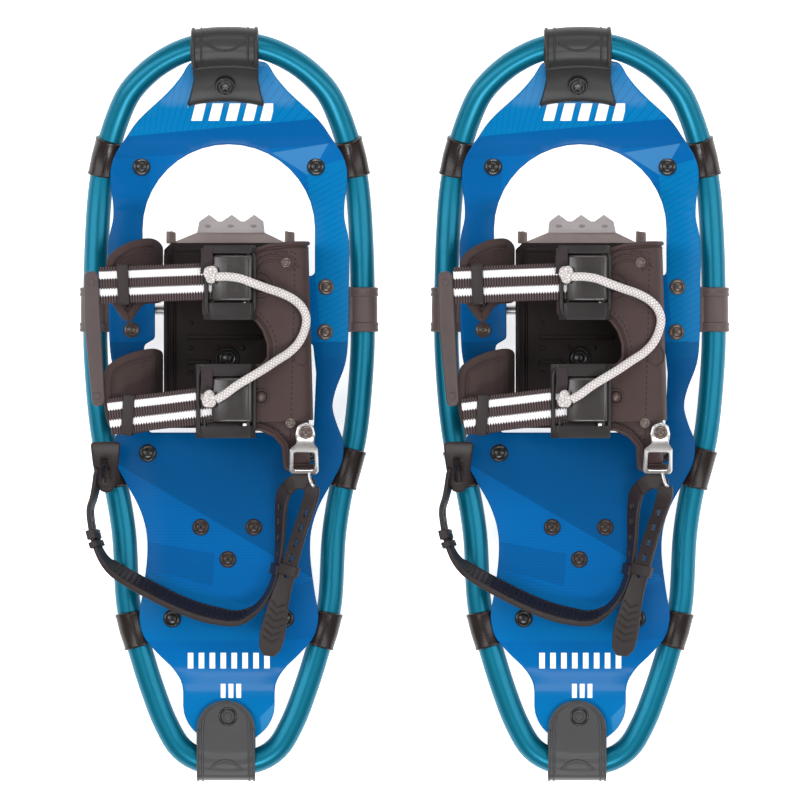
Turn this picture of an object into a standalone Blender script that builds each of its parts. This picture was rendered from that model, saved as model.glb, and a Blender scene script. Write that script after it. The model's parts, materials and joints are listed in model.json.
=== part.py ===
"""A pair of recreational snowshoes: bent tube frames, sheet decks, pivoting bindings and crampons.

Shapes are worked out in millimetres in each shoe's own frame: +Y to the toe, +Z up, z = 0 where the crampon
teeth stand. Heights named here are counted from the centre plane of the frame tube, at TUBE_LEVEL.
"""

import math

import bmesh
import bpy
from mathutils import Matrix, Vector

MM = 0.001
PITCH = 225.4
TUBE_LEVEL = 26.0
TUBE_RADIUS = 7.85
TUBE_STATIONS = 56
TUBE_SIDES = 8
CLEARANCE = 0.3
NOSE_START = 120.0
NOSE_RATE = 0.00245

# Half of the frame tube's centre line, from the toe to the tail.
FRAME_HALF = [
    (0, 230.6), (23.8, 227.4), (41.1, 219.7), (53.3, 210.7), (63.6, 199.3), (70.7, 184.7), (77.7, 163.1),
    (82.2, 140.7), (84.9, 105), (85.9, 60.4), (85.4, 28.3), (80.3, -23.1), (72.4, -53.3), (67.6, -82),
    (64.2, -131.7), (57.2, -157.2), (49.8, -181.1), (40.5, -205.2), (30.8, -221), (18, -228.7), (0, -229.9),
]

DECK_THICKNESS = 2.5
DECK_HIGH = 6.8
DECK_LOW = 1.6
# Half of the deck's edge, from the toe cap to the tail cap.
DECK_HALF = [
    (17, 219.5), (24.4, 218.1), (30.2, 209.7), (38.5, 200), (57.8, 181.9), (66.2, 170), (72.6, 160.5),
    (75.7, 151), (75.9, 141), (74.3, 129), (74.2, 119), (77.1, 104.6), (77.1, 75.8), (76.6, 42),
    (74.8, 26), (68.3, 8), (66.6, -2), (69.4, -13), (73.4, -24), (72.6, -37), (66.2, -50.1), (57.8, -65.5),
    (53, -80.9), (52.3, -97), (55.2, -121), (57.5, -136), (54.6, -149), (45.5, -160), (35.2, -170.4),
    (30, -180), (28.9, -198), (24.4, -207.5), (15, -216),
]
DECK_BREAKS = (-190, -182, -173, -165, 120, 140, 158, 172, 181, 190, 205)
HOLE_CENTRE_Y = 112.4
HOLE_HALF_WIDTH = 55.2
HOLE_HALF_LENGTH = 54.0
HOLE_SIDE = [(55.2, 83), (47.3, 81), (47.3, 42), (54, 38), (56, 20), (54.5, -14), (50, -18.2)]

WRAP_OUTER = 9.35
WRAP_INNER = 8.15
TAB_THICKNESS = 1.6
# Each strap wrap: where it sits along the tube, and the rivet that holds its tab under the deck.
WRAPS = {
    "front_wrap": ((146, 170), (55.9, 152.2)),
    "rear_wrap": ((-54, -28.5), (52, -31.5)),
    "tail_wrap": ((-156, -133.3), (36.3, -137.5)),
}

PIVOT_Y = 60.4
PIVOT_HEIGHT = 0.3
AXLE_RADIUS = 3.0
AXLE_HALF_LENGTH = 57.5
BARREL_RADIUS = 4.8
BARREL_SPAN = (48.0, 58.0)
PIVOT_WRAP_SPAN = (46.2, 75.3)
PIVOT_WRAP_OUTER = 9.6

CAP_OUTER = 10.6
SKIRT_THICKNESS = 3.0

SKIRT_BAR_END = 222.0
TAIL_SKIRT_RADIUS = 18.7
TAIL_CAP_MIDDLE = -1.9

# The crampons: their sheets, the heights of the valleys between their teeth, and the toe crampon's front.
CRAMPON_THICKNESS = 1.6
CRAMPON_TOP = 5.3
FLANGE_X = 36.0
FRONT_FLANGE = (-20.6, 23.1)
FRONT_BEND_Y = 109.4
FRONT_TIP_Y = 122.7
SIDE_VALLEY = 13.0
HEEL_VALLEY = 15.0
HEEL_SIDE_X = 26.0
HEEL_SPAN = (-111, -66)
FOOTBED_BOTTOM = 5.6
FOOTBED_TOP = 8.6

# The wing's outer surface, seen from behind: up from the footbed, over the foot and out to the buckles.
WING_PROFILE = [
    (42.6, 7), (45.2, 18), (46.6, 30), (50.2, 38), (52.6, 45), (51.4, 52), (46, 56.8), (36, 59), (22, 59),
    (-16, 58.4),
]
WING_THICKNESS = 2.8
WING_LEAN = 0.028
WING_OUTLINE = [
    (-12, 96), (12, 97), (28, 102), (44, 103.6), (66, 103.6), (66, -43), (33, -43), (32, -27), (27, -21),
    (18.6, -17), (-16, -17), (-16, 25.5), (21, 25.5), (24.2, 30), (24.4, 38), (22, 46), (18, 52), (14, 55),
    (-12, 55),
]
# How the strap flaps rise outwards from the footbed: (x, height of the lower face).
FLAP_RISE = [(-80, 47.4), (-66, 46), (-55, 41), (-47.2, 34), (-42, 9)]
FLAP_THICKNESS = 2.4
FLAP_ROOT_X = -42.0
FRONT_FLAP = [
    (-42.3, 101), (-47, 105.3), (-55.6, 105.3), (-64, 102.6), (-72.8, 97.3), (-76.8, 92), (-76.4, 70),
    (-73, 63), (-62.9, 52), (-54, 63), (-42.3, 66),
]
REAR_FLAP = [
    (-42.3, 33), (-46, 35.3), (-54, 34.7), (-64, 31.8), (-73.2, 27), (-77.8, 22), (-78.4, -3), (-74, -16),
    (-62, -19), (-42.3, -12),
]

LEVER_AXIS_X = 13.4
LEVER_AXIS_HEIGHT = 66.6
BUCKLE_BOTTOM = 59.5
BUCKLE_FLOOR = 61.4
CHEEK_TOP = 68.2
PIN_RADIUS = 1.5
BARREL_OUTER = 2.8

LEVER_LEFT = -9.6
LEVER_BOTTOM = 63.9
LEVER_TOP = 67.9
# Each buckle's left end, its two cheeks' spans along Y (front, then back) and its lever's span.
BUCKLES = {
    "front": (-14.8, (95.6, 100.6), (53.4, 64.6), (65.4, 94.8)),
    "rear": (-19.9, (17.8, 25.4), (-21.6, -13.8), (-11.6, 17)),
}

WEBBING_WIDTH = 21.5
WEBBING_THICKNESS = 1.3
# The middle lines of the two webbing tails, from the buckles out to the pull handle.
FRONT_TAIL = [
    (12, 78.6, 62.7), (-14, 77.9, 62.7), (-24, 77.5, 62.4), (-42, 76.9, 59.2), (-63, 76.1, 54.4),
    (-81.4, 75.4, 52),
]
REAR_TAIL = [
    (12, 2, 62.7), (-14, -0.9, 62.7), (-24, -2.1, 62.4), (-42, -4.3, 59.2), (-63, -6.7, 54.4),
    (-75.4, -8.2, 52.4),
]
HANDLE = [(-91.4, 84.4), (-82.4, 84.8), (-81, 60), (-77.8, -0.9), (-85.8, -1.9), (-91, 50)]
HANDLE_BOTTOM = 50.2
HANDLE_TOP = 54.8

# The heel strap's anchor on the wing, and the strap's stations: (x, y, height, tilt, width, thickness).
HEEL_ANCHOR = (50.0, -12.0, 61.0)
STRAP_ROUND_HEEL = [
    (-86.4, -60.5, 19, 80, 14, 2.6), (-88.3, -67, 19, 80, 14, 2.6), (-87.4, -78, 20, 80, 14, 2.6),
    (-84.6, -89, 21, 78, 14, 2.6), (-79.4, -99.5, 22, 74, 15, 3), (-72, -106.4, 22, 68, 18, 3.6),
    (-50, -119.2, 22, 66, 19, 3.8), (-26, -130.4, 22, 66, 19, 3.8), (-8, -135.6, 22, 66, 19, 3.8),
    (7, -137, 22, 68, 18, 3.2), (18.4, -130.4, 22, 72, 14, 2.6), (26.4, -120.4, 22, 74, 14, 2.6),
    (31, -107.5, 22, 72, 14, 2.6), (33, -90, 23, 68, 14, 2.6), (33.4, -70, 24, 60, 14, 2.6),
    (35, -60, 28, 45, 13, 2.6), (39.5, -56.5, 32, 25, 11, 2.4),
]
STRAP_TURN = [
    (38, -57.6, 31, 30, 10.6, 2.2), (42.6, -55, 35, 16, 10.6, 2.2), (48, -54.6, 39.6, 0, 10.6, 2.2),
    (53.8, -58.6, 41, -32, 10.6, 2.2),
]
STRAP_TAIL = [
    (53.6, -57, 41.4, -30, 11.6, 2.4), (52.4, -61, 40, -38, 13, 2.6), (49, -71, 37, -44, 13, 2.6),
    (45, -84, 35, -44, 13, 2.6), (41, -98, 34, -42, 13, 2.6), (37.6, -110, 34, -36, 13, 2.6),
    (34, -122, 33, -26, 13, 2.6), (31, -134, 32, -16, 14.6, 3), (28.4, -147, 31, -10, 16.4, 3.4),
    (26.4, -158, 31, -8, 13, 3), (26, -161, 31, -8, 8, 2.6),
]
SHACKLE_THICKNESS = 2.4
SHACKLE = [
    (50, -11.4), (44.6, -13.6), (43.2, -19), (44.4, -25), (39.6, -28.5), (39, -46), (41, -47.8),
    (56.4, -47.8), (58, -46), (57.6, -28.5), (55, -25), (56, -19), (54.8, -13.6),
]
SHACKLE_WINDOW = [(42, -31), (55.2, -31), (55.2, -44.8), (42, -44.8)]
SHACKLE_EYE = (50, -18)
LOOP_THICKNESS = 2.6
LOOP = [
    (-88, -24), (-68.4, -24), (-70, -38), (-71.6, -50), (-74, -55.4), (-78, -57), (-82, -55.6),
    (-84.6, -50), (-86.6, -38),
]
LOOP_SLOT = [(-81.4, -34), (-75.4, -34), (-76, -50), (-80.6, -50)]

CORD_RADIUS = 3.0
# The pull cord's route from the front lever round to the rear one, heights from the tube's centre plane.
CORD_ROUTE = [
    (-6.8, 80.7, 71.6), (0.6, 80.8, 72.2), (8.7, 79.6, 73), (17.3, 76.4, 72.2), (25.7, 73.4, 69),
    (34.5, 70.4, 65.4), (42.6, 66.2, 62.6), (48, 60.8, 60), (50.3, 54.3, 58.8), (49, 46.5, 59.2),
    (45.2, 38.8, 61), (39.4, 32.8, 63), (31.5, 27.6, 66.4), (23, 21.9, 70.2), (14.4, 16.7, 73),
    (5.8, 11.4, 73), (-1.2, 6.2, 72.2), (-6.8, 2.9, 71.6),
]


def smoothstep(edge, full, value):
    """0 at edge and beyond it, 1 at full, and smooth between them."""
    share = min(max((value - edge) / (full - edge), 0), 1)
    return share * share * (3 - 2 * share)


def lift(y):
    """How far the nose bends up at y."""
    return NOSE_RATE * max(0, y - NOSE_START) ** 2


def deck_level(y):
    """Height of the deck's lower face: on the wraps along the middle, sunk into the caps at the ends."""
    share = smoothstep(-190, -165, y) * smoothstep(190, 172, y)
    return TUBE_LEVEL + lift(y) + DECK_LOW + (DECK_HIGH - DECK_LOW) * share


def interpolate(table, value):
    """Straight-line reading of a sorted table of (position, result)."""
    for (a, low), (b, high) in zip(table, table[1:]):
        if value <= b:
            return low + (high - low) * max(0, value - a) / (b - a)
    return table[-1][1]


def catmull(points, per_span, closed=False):
    """A centripetal Catmull-Rom curve through points of any dimension."""
    points = [Vector(p) for p in points]
    count = len(points)
    spans = count if closed else count - 1
    if not closed:
        points = [2 * points[0] - points[1], *points, 2 * points[-1] - points[-2]]
    curve = []
    for i in range(spans):
        if closed:
            p0, p1, p2, p3 = (points[(i + k - 1) % count] for k in range(4))
        else:
            p0, p1, p2, p3 = points[i : i + 4]
        t0 = 0
        t1 = t0 + math.sqrt((p1 - p0).length)
        t2 = t1 + math.sqrt((p2 - p1).length)
        t3 = t2 + math.sqrt((p3 - p2).length)
        for step in range(per_span):
            t = t1 + (t2 - t1) * step / per_span
            a1 = p0 * ((t1 - t) / (t1 - t0)) + p1 * ((t - t0) / (t1 - t0))
            a2 = p1 * ((t2 - t) / (t2 - t1)) + p2 * ((t - t1) / (t2 - t1))
            a3 = p2 * ((t3 - t) / (t3 - t2)) + p3 * ((t - t2) / (t3 - t2))
            b1 = a1 * ((t2 - t) / (t2 - t0)) + a2 * ((t - t0) / (t2 - t0))
            b2 = a2 * ((t3 - t) / (t3 - t1)) + a3 * ((t - t1) / (t3 - t1))
            curve.append(b1 * ((t2 - t) / (t2 - t1)) + b2 * ((t - t1) / (t2 - t1)))
    if not closed:
        curve.append(points[-2].copy())
    return curve


def spaced(curve, count, closed=False):
    """The same curve at count points, evenly spaced along it."""
    ring = curve + [curve[0]] if closed else curve
    walked = [0.0]
    for a, b in zip(ring, ring[1:]):
        walked.append(walked[-1] + (b - a).length)
    steps = count if closed else count - 1
    result = []
    at = 0
    for i in range(count):
        target = walked[-1] * i / steps
        while at < len(ring) - 2 and walked[at + 1] < target:
            at += 1
        share = (target - walked[at]) / (walked[at + 1] - walked[at])
        result.append(ring[at].lerp(ring[at + 1], share))
    return result


def mirrored(half):
    """A closed outline from its right half: the half itself, then its mirror image walked back."""
    left = [(-x, y) for x, y in reversed(half) if x > 0]
    return list(half) + left


def frame_path(per_span=12):
    """The tube's centre line as a closed loop, with the nose bent up."""
    curve = catmull(mirrored(FRAME_HALF), per_span, True)
    return [Vector((p.x, p.y, TUBE_LEVEL + lift(p.y))) for p in curve]


def frame_span(side, low, high):
    """The part of the tube's centre line between two values of y, on the side of x that is given."""
    span = [p for p in frame_path() if p.x * side > 0 and low <= p.y <= high]
    return sorted(span, key=lambda p: p.y)


def circle(radius, sides, centre=(0, 0), turn=0.0):
    """The corners of a regular polygon round a centre, as pairs."""
    return [
        (
            centre[0] + radius * math.cos(turn + math.tau * i / sides),
            centre[1] + radius * math.sin(turn + math.tau * i / sides),
        )
        for i in range(sides)
    ]


def new_mesh(bm):
    """A mesh from a bmesh, with its faces turned outwards."""
    bmesh.ops.remove_doubles(bm, verts=bm.verts[:], dist=1e-5)
    bmesh.ops.recalc_face_normals(bm, faces=bm.faces[:])
    mesh = bpy.data.meshes.new("shape")
    bm.to_mesh(mesh)
    bm.free()
    return mesh


def rings_mesh(rings, closed):
    """A tube of quads through rings of points, with flat ends unless it is a closed loop."""
    bm = bmesh.new()
    loops = [[bm.verts.new(p) for p in ring] for ring in rings]
    pairs = list(zip(loops, loops[1:]))
    if closed:
        pairs.append((loops[-1], loops[0]))
    for a, b in pairs:
        for i in range(len(a)):
            j = (i + 1) % len(a)
            bm.faces.new((a[i], a[j], b[j], b[i]))
    if not closed:
        bm.faces.new(loops[0])
        bm.faces.new(loops[-1])
    return new_mesh(bm)


def directions(path, closed):
    """(tangent, side, up) at each point of a path that never runs straight up."""
    found = []
    last = len(path) - 1
    for i in range(len(path)):
        before = path[i - 1] if i or closed else path[0]
        after = path[(i + 1) % len(path)] if i < last or closed else path[last]
        tangent = (after - before).normalized()
        side = tangent.cross(Vector((0, 0, 1))).normalized()
        found.append((tangent, side, side.cross(tangent)))
    return found


def sweep(path, radius, sides=10, closed=False):
    """A round bar along a path."""
    rings = []
    for point, (_, side, up) in zip(path, directions(path, closed)):
        rings.append([point + side * a + up * b for a, b in circle(radius, sides, turn=math.pi / sides)])
    return rings_mesh(rings, closed)


def ribbon(stations, count):
    """A flat band through stations of (x, y, height, tilt in degrees, width, thickness)."""
    curve = spaced(catmull(stations, 8), count)
    path = [Vector((p[0], p[1], p[2] + TUBE_LEVEL)) for p in curve]
    rings = []
    for point, values, (_, side, up) in zip(path, curve, directions(path, False)):
        tilt, width, thickness = math.radians(values[3]), values[4] / 2, values[5] / 2
        across = side * math.cos(tilt) + up * math.sin(tilt)
        through = up * math.cos(tilt) - side * math.sin(tilt)
        corners = ((-1, -1), (1, -1), (1, 1), (-1, 1))
        rings.append([point + across * width * a + through * thickness * b for a, b in corners])
    return rings_mesh(rings, False)


def plate(outline, low, high, holes=(), breaks=(), level=None):
    """A flat plate with holes, split along lines of constant y or x, then raised by level(x, y)."""
    bm = bmesh.new()
    edges = []
    for loop in (outline, *holes):
        verts = [bm.verts.new((p[0], p[1], 0)) for p in loop]
        edges += [bm.edges.new(pair) for pair in zip(verts, verts[1:] + verts[:1])]
    bmesh.ops.triangle_fill(bm, use_beauty=True, use_dissolve=False, edges=edges)
    for axis, value in breaks:
        normal = (1, 0, 0) if axis == "x" else (0, 1, 0)
        point = tuple(value * n for n in normal)
        geometry = bm.verts[:] + bm.edges[:] + bm.faces[:]
        bmesh.ops.bisect_plane(bm, geom=geometry, dist=1e-4, plane_co=point, plane_no=normal)
    faces = bm.faces[:]
    made = bmesh.ops.extrude_face_region(bm, geom=faces)["geom"]
    top = {item for item in made if isinstance(item, bmesh.types.BMVert)}
    for vert in bm.verts:
        vert.co.z = high if vert in top else low
        if level:
            vert.co.z += level(vert.co.x, vert.co.y)
    return new_mesh(bm)


def turned(mesh, matrix):
    mesh.transform(matrix)
    if matrix.determinant() < 0:
        mesh.flip_normals()
    return mesh


def panel_x(outline, x_low, x_high, holes=()):
    """A plate that stands across X: its outline is given as (y, z)."""
    axes = Matrix(((0, 0, 1, 0), (1, 0, 0, 0), (0, 1, 0, 0), (0, 0, 0, 1)))
    return turned(plate(outline, x_low, x_high, holes), axes)


def panel_y(outline, y_low, y_high, holes=()):
    """A plate that stands across Y: its outline is given as (x, z)."""
    axes = Matrix(((1, 0, 0, 0), (0, 0, -1, 0), (0, 1, 0, 0), (0, 0, 0, 1)))
    return turned(plate(outline, -y_high, -y_low, holes), axes)


def block(x, y, z):
    return plate([(x[0], y[0]), (x[1], y[0]), (x[1], y[1]), (x[0], y[1])], z[0], z[1])


def combine(base, join=(), cut=(), keep=None):
    """Unions, differences and an intersection, in that order, baked into one mesh."""
    scene = bpy.context.scene.collection
    target = bpy.data.objects.new("work", base)
    scene.objects.link(target)
    steps = [("UNION", m) for m in join] + [("DIFFERENCE", m) for m in cut]
    if keep is not None:
        steps.append(("INTERSECT", keep))
    helpers = []
    for operation, mesh in steps:
        helper = bpy.data.objects.new("helper", mesh)
        scene.objects.link(helper)
        helpers.append(helper)
        modifier = target.modifiers.new("cut", "BOOLEAN")
        modifier.operation = operation
        modifier.object = helper
    bpy.context.view_layer.update()
    graph = bpy.context.evaluated_depsgraph_get()
    result = bpy.data.meshes.new_from_object(target.evaluated_get(graph))
    for helper in helpers + [target]:
        bpy.data.objects.remove(helper)
    bm = bmesh.new()
    bm.from_mesh(result)
    bmesh.ops.dissolve_limit(bm, angle_limit=0.0005, verts=bm.verts[:], edges=bm.edges[:])
    bmesh.ops.triangulate(bm, faces=bm.faces[:])
    bm.to_mesh(result)
    bm.free()
    return result


def flipped(mesh):
    """The same shape on the other side of the shoe."""
    return turned(mesh.copy(), Matrix.Diagonal((-1, 1, 1, 1)))


# ---- frame and deck -------------------------------------------------------------------------------------


def make_frame_tube():
    return sweep(spaced(frame_path(), TUBE_STATIONS, True), TUBE_RADIUS, TUBE_SIDES, closed=True)


def deck_outline():
    right = spaced(catmull(DECK_HALF, 6), 44)
    return mirrored([(p.x, p.y) for p in right])


def hole_outline():
    arc = [
        (HOLE_HALF_WIDTH * math.cos(a), HOLE_CENTRE_Y + HOLE_HALF_LENGTH * math.sin(a))
        for a in (math.pi / 2 * i / 7 for i in range(7, -1, -1))
    ]
    return mirrored(arc + HOLE_SIDE)


def deck_slice(low, high, outline, holes=()):
    """A plate that follows the deck: low and high are counted from the deck's lower face."""
    breaks = [("y", y) for y in DECK_BREAKS]
    return plate(outline, low, high, holes, breaks, lambda x, y: deck_level(y))


def make_deck():
    return deck_slice(0, DECK_THICKNESS, deck_outline(), [hole_outline()])


def deck_cutter():
    """The deck with its clearance all round, to cut its room in a neighbour. Its outline runs clockwise."""
    grown = []
    outline = deck_outline()
    for before, point, after in zip(outline[-1:] + outline[:-1], outline, outline[1:] + outline[:1]):
        along = Vector((after[0] - before[0], after[1] - before[1])).normalized()
        grown.append((point[0] - along.y * CLEARANCE, point[1] + along.x * CLEARANCE))
    return deck_slice(-CLEARANCE, DECK_THICKNESS + CLEARANCE, grown)


def tube_cutter():
    return sweep(spaced(frame_path(), TUBE_STATIONS, True), WRAP_INNER, TUBE_SIDES, closed=True)


def make_wrap(name):
    """A strap round the tube whose ends meet in a tab under the deck, for the right side."""
    (low, high), rivet = WRAPS[name]
    span = spaced(frame_span(1, low, high), 3)
    middle = span[1]
    reach = Vector((rivet[0] - middle.x, rivet[1] - middle.y, 0)).normalized()
    across = Vector((-reach.y, reach.x, 0))
    half = (span[-1] - span[0]).length / 2 - 0.5
    start = Vector((middle.x, middle.y, 0)) + reach * 5
    end = Vector((rivet[0], rivet[1], 0))
    tab = [start - across * half, start + across * half, end + across * 7, end + reach * 7]
    tab.append(end - across * 7)
    top = -CLEARANCE
    tab_mesh = deck_slice(top - TAB_THICKNESS, top, [(p.x, p.y) for p in tab])
    return combine(sweep(span, WRAP_OUTER), [tab_mesh], [tube_cutter(), deck_cutter()])


def make_pivot_wrap():
    """The clip that carries the pivot axle, for the right side."""
    span = spaced(frame_span(1, *PIVOT_WRAP_SPAN), 3)
    low, high = PIVOT_WRAP_SPAN
    top = TUBE_LEVEL + DECK_HIGH - CLEARANCE
    tab = block((BARREL_SPAN[0], 81), (low + 0.8, high - 0.8), (top - TAB_THICKNESS, top))
    centre = (PIVOT_Y, TUBE_LEVEL + PIVOT_HEIGHT)
    barrel = panel_x(circle(BARREL_RADIUS, 10, centre), *BARREL_SPAN)
    near, far, root = PIVOT_Y - 4, PIVOT_Y + 4, top - 0.5
    web = panel_x([(near, centre[1]), (far, centre[1]), (far, root), (near, root)], *BARREL_SPAN)
    bore = panel_x(circle(AXLE_RADIUS + 0.5, 10, centre), BARREL_SPAN[0] - 1, BARREL_SPAN[1] + 1)
    cuts = [tube_cutter(), deck_cutter(), bore]
    return combine(sweep(span, PIVOT_WRAP_OUTER), [tab, barrel, web], cuts)


def make_pivot_axle():
    centre = (PIVOT_Y, TUBE_LEVEL + PIVOT_HEIGHT)
    return panel_x(circle(AXLE_RADIUS, 10, centre), -AXLE_HALF_LENGTH, AXLE_HALF_LENGTH)


def make_toe_cap():
    """A moulded shell round the front of the tube, with a skirt above the deck and a tongue below it."""
    arc = sorted((p for p in frame_path() if p.y > 200 and -24.3 < p.x < 20.3), key=lambda p: p.x)
    shell = sweep(spaced(arc, 4), CAP_OUTER, 12)
    skirt = [
        (-22, SKIRT_BAR_END), (19, SKIRT_BAR_END), (19.5, 207), (22.5, 191.2), (11, 193), (-1, 190),
        (-19, 192.4), (-26, 192), (-23.5, 207),
    ]
    top = DECK_THICKNESS + CLEARANCE
    upper = deck_slice(top, top + SKIRT_THICKNESS, skirt)
    tongue = [(-20, SKIRT_BAR_END), (17, SKIRT_BAR_END), (17, 200), (-20, 200)]
    lower = deck_slice(-CLEARANCE - SKIRT_THICKNESS, -CLEARANCE, tongue)
    return combine(shell, [upper, lower], [tube_cutter(), deck_cutter()])


def make_tail_cap():
    """A moulded shell round the back of the tube, with an arched skirt, a tongue and a foot."""
    arc = sorted((p for p in frame_path() if p.y < -200 and -20.8 < p.x < 17), key=lambda p: p.x)
    shell = sweep(spaced(arc, 4), CAP_OUTER, 12)
    left, right = TAIL_CAP_MIDDLE - TAIL_SKIRT_RADIUS, TAIL_CAP_MIDDLE + TAIL_SKIRT_RADIUS
    crown = [p for p in circle(TAIL_SKIRT_RADIUS, 18, (TAIL_CAP_MIDDLE, -208.8)) if p[1] > -208.9]
    skirt = [(right, -221), *crown, (left, -221)]
    top = DECK_THICKNESS + CLEARANCE
    upper = deck_slice(top, top + SKIRT_THICKNESS, skirt)
    tongue = [(15, -221), (15, -205), (-19, -205), (-19, -221)]
    lower = deck_slice(-CLEARANCE - SKIRT_THICKNESS, -CLEARANCE, tongue)
    base = TUBE_LEVEL - CAP_OUTER
    heel = [(-225, base), (-241.3, base), (-241.3, base + 9), (-238, base + 19), (-225, base + 20.5)]
    foot = panel_x(heel, left, right)
    return combine(shell, [upper, lower, foot], [tube_cutter(), deck_cutter()])


def teeth(start, end, count, shoulder, tip):
    """A saw edge from start to end: valleys at the shoulder's height and points at the tip's."""
    step = (end - start) / count
    edge = []
    for i in range(count):
        edge += [(start + step * (i + 0.08), shoulder), (start + step * (i + 0.5), tip)]
        edge.append((start + step * (i + 0.92), shoulder))
    return edge


def make_heel_crampon():
    """A sheet riveted under the heel, with two toothed sides and a toothed back."""
    top = TUBE_LEVEL + DECK_HIGH - CLEARANCE
    low = top - CRAMPON_THICKNESS
    x, (back_y, front_y) = HEEL_SIDE_X, HEEL_SPAN
    sheet = plate([(-x, front_y), (x, front_y), (x, -90), (10, back_y), (-10, back_y), (-x, -90)], low, top)
    root = top - 0.4
    side = [(front_y, root), (-91, root)] + teeth(-91, front_y, 2, HEEL_VALLEY, 0)
    right = panel_x(side, x - CRAMPON_THICKNESS, x)
    left = panel_x(side, -x, CRAMPON_THICKNESS - x)
    rear = [(10, root), (-10, root)] + teeth(-10, 10, 1, HEEL_VALLEY, 0)
    back = panel_y(rear, back_y, back_y + CRAMPON_THICKNESS)
    return combine(sheet, [right, left, back])


# ---- binding ----------------------------------------------------------------------------------------------


def make_toe_crampon():
    """Top plate, two toothed sides with the axle's holes, and the toothed front flange."""
    top = TUBE_LEVEL + CRAMPON_TOP
    low = top - CRAMPON_THICKNESS
    outline = [(-37.6, 24), (37.6, 24), (37.6, 103), (23.1, 110), (-20.6, 110), (-37.6, 103)]
    sheet = plate(outline, low, top)
    axle = circle(AXLE_RADIUS + 0.5, 10, (PIVOT_Y, TUBE_LEVEL + PIVOT_HEIGHT))
    side = [(24, top - 0.4), (24, 19), *teeth(24, 104, 5, SIDE_VALLEY, 0), (111, 22), (111, top - 0.4)]
    right = panel_x(side, FLANGE_X, FLANGE_X + CRAMPON_THICKNESS, [axle])
    left = panel_x(side, -FLANGE_X - CRAMPON_THICKNESS, -FLANGE_X, [axle])
    reach = FRONT_TIP_Y - FRONT_BEND_Y
    slope = math.atan2(top, reach)
    depth = math.hypot(top, reach) - 1
    saw = [(x, -v) for x, v in reversed(teeth(*FRONT_FLANGE, 3, depth - 12, depth))]
    flange = plate([(FRONT_FLANGE[0], 0), (FRONT_FLANGE[1], 0), *saw], 0, CRAMPON_THICKNESS)
    place = Matrix.Translation((0, FRONT_BEND_Y, top - 0.2)) @ Matrix.Rotation(math.pi - slope, 4, "X")
    return combine(sheet, [right, left, turned(flange, place)])


def make_base_plate():
    """The plastic footbed: a ribbed floor with a low wall on the left and a well for its screw."""
    low, top = TUBE_LEVEL + FOOTBED_BOTTOM, TUBE_LEVEL + FOOTBED_TOP
    floor = [(-41.5, -15.4), (38.1, -15.4), (38.1, 99), (34, 103.4), (-37, 103.4), (-41.5, 99)]
    well = circle(6.6, 12, (-0.6, 29.5))
    slot = [(-34.5, 89), (-18, 89), (-18, 98), (-34.5, 98)]
    rib_ends = ((72, 21.2), (43, 21.2), (27, -12))
    ribs = [block((-26.3, x), (y - 1.3, y + 1.3), (top - 0.5, top + 1.8)) for y, x in rib_ends]
    wall = block((-41.5, -39), (-12, 96), (low + 0.5, TUBE_LEVEL + 17))
    return combine(plate(floor, low, top, [well, slot]), [*ribs, wall])


def make_buckle_wing():
    """A curved shell that rises from the footbed's right edge and reaches over the foot in two lobes."""
    outer = [Vector((x, z)) for x, z in spaced_pairs(WING_PROFILE, 15)]
    inner = []
    for i, point in enumerate(outer):
        along = (outer[min(i + 1, len(outer) - 1)] - outer[max(i - 1, 0)]).normalized()
        inner.append(point + Vector((-along.y, along.x)) * WING_THICKNESS)
    section = [(p.x, p.y + TUBE_LEVEL) for p in outer + inner[::-1]]
    shell = panel_y(section, -43, 103.6)
    for vert in shell.vertices:
        vert.co.x += WING_LEAN * (PIVOT_Y - vert.co.y)
    under_arm = block((30, 70), (-50, -13), (0, TUBE_LEVEL + 12.5))
    cut = combine(shell, cut=[under_arm], keep=plate(WING_OUTLINE, -5, 120))
    bm = bmesh.new()
    bm.from_mesh(cut)
    for y in (-20, -28, -36):
        geometry = bm.verts[:] + bm.edges[:] + bm.faces[:]
        bmesh.ops.bisect_plane(bm, geom=geometry, dist=1e-4, plane_co=(0, y, 0), plane_no=(0, 1, 0))
    for vert in bm.verts:
        share = smoothstep(-16, -44, vert.co.y) * (vert.co.z - TUBE_LEVEL - FOOTBED_TOP) / 50
        vert.co.z -= 20 * max(0, share)
    bmesh.ops.triangulate(bm, faces=bm.faces[:])
    return new_mesh(bm)


def spaced_pairs(points, count):
    return [(p.x, p.y) for p in spaced(catmull(points, 6), count)]


def make_flap(outline):
    """A soft flap that stands up from the footbed's left wall and folds outwards."""
    edge = spaced(catmull(outline, 3, True), 20, True)
    breaks = [("x", x) for x, _ in FLAP_RISE[1:-1]]
    return plate(
        [(min(p.x, FLAP_ROOT_X), p.y) for p in edge],
        0,
        FLAP_THICKNESS,
        (),
        breaks,
        lambda x, y: TUBE_LEVEL + interpolate(FLAP_RISE, x),
    )


def make_buckle(name):
    """A cam buckle's body: a channel for the webbing, two cheeks and the lever's pin."""
    x_low, cheek_front, cheek_back, _ = BUCKLES[name]
    x = (x_low, LEVER_AXIS_X + 4.6)
    base = TUBE_LEVEL
    floor = block(x, (cheek_back[0], cheek_front[1]), (base + BUCKLE_BOTTOM, base + BUCKLE_FLOOR))
    cheeks = []
    root, top = base + BUCKLE_BOTTOM + 0.4, base + CHEEK_TOP
    for cheek in (cheek_front, cheek_back):
        outline = [
            (x[0], root), (x[1], root), (x[1], top - 3), (x[1] - 3, top), (x[0] + 5, top - 1.5),
            (x[0], top - 5),
        ]
        cheeks.append(panel_y(outline, *cheek))
    centre = (LEVER_AXIS_X, base + LEVER_AXIS_HEIGHT)
    pin = panel_y(circle(PIN_RADIUS, 8, centre), cheek_back[1] - 1, cheek_front[0] + 1)
    return combine(floor, [*cheeks, pin])


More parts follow.
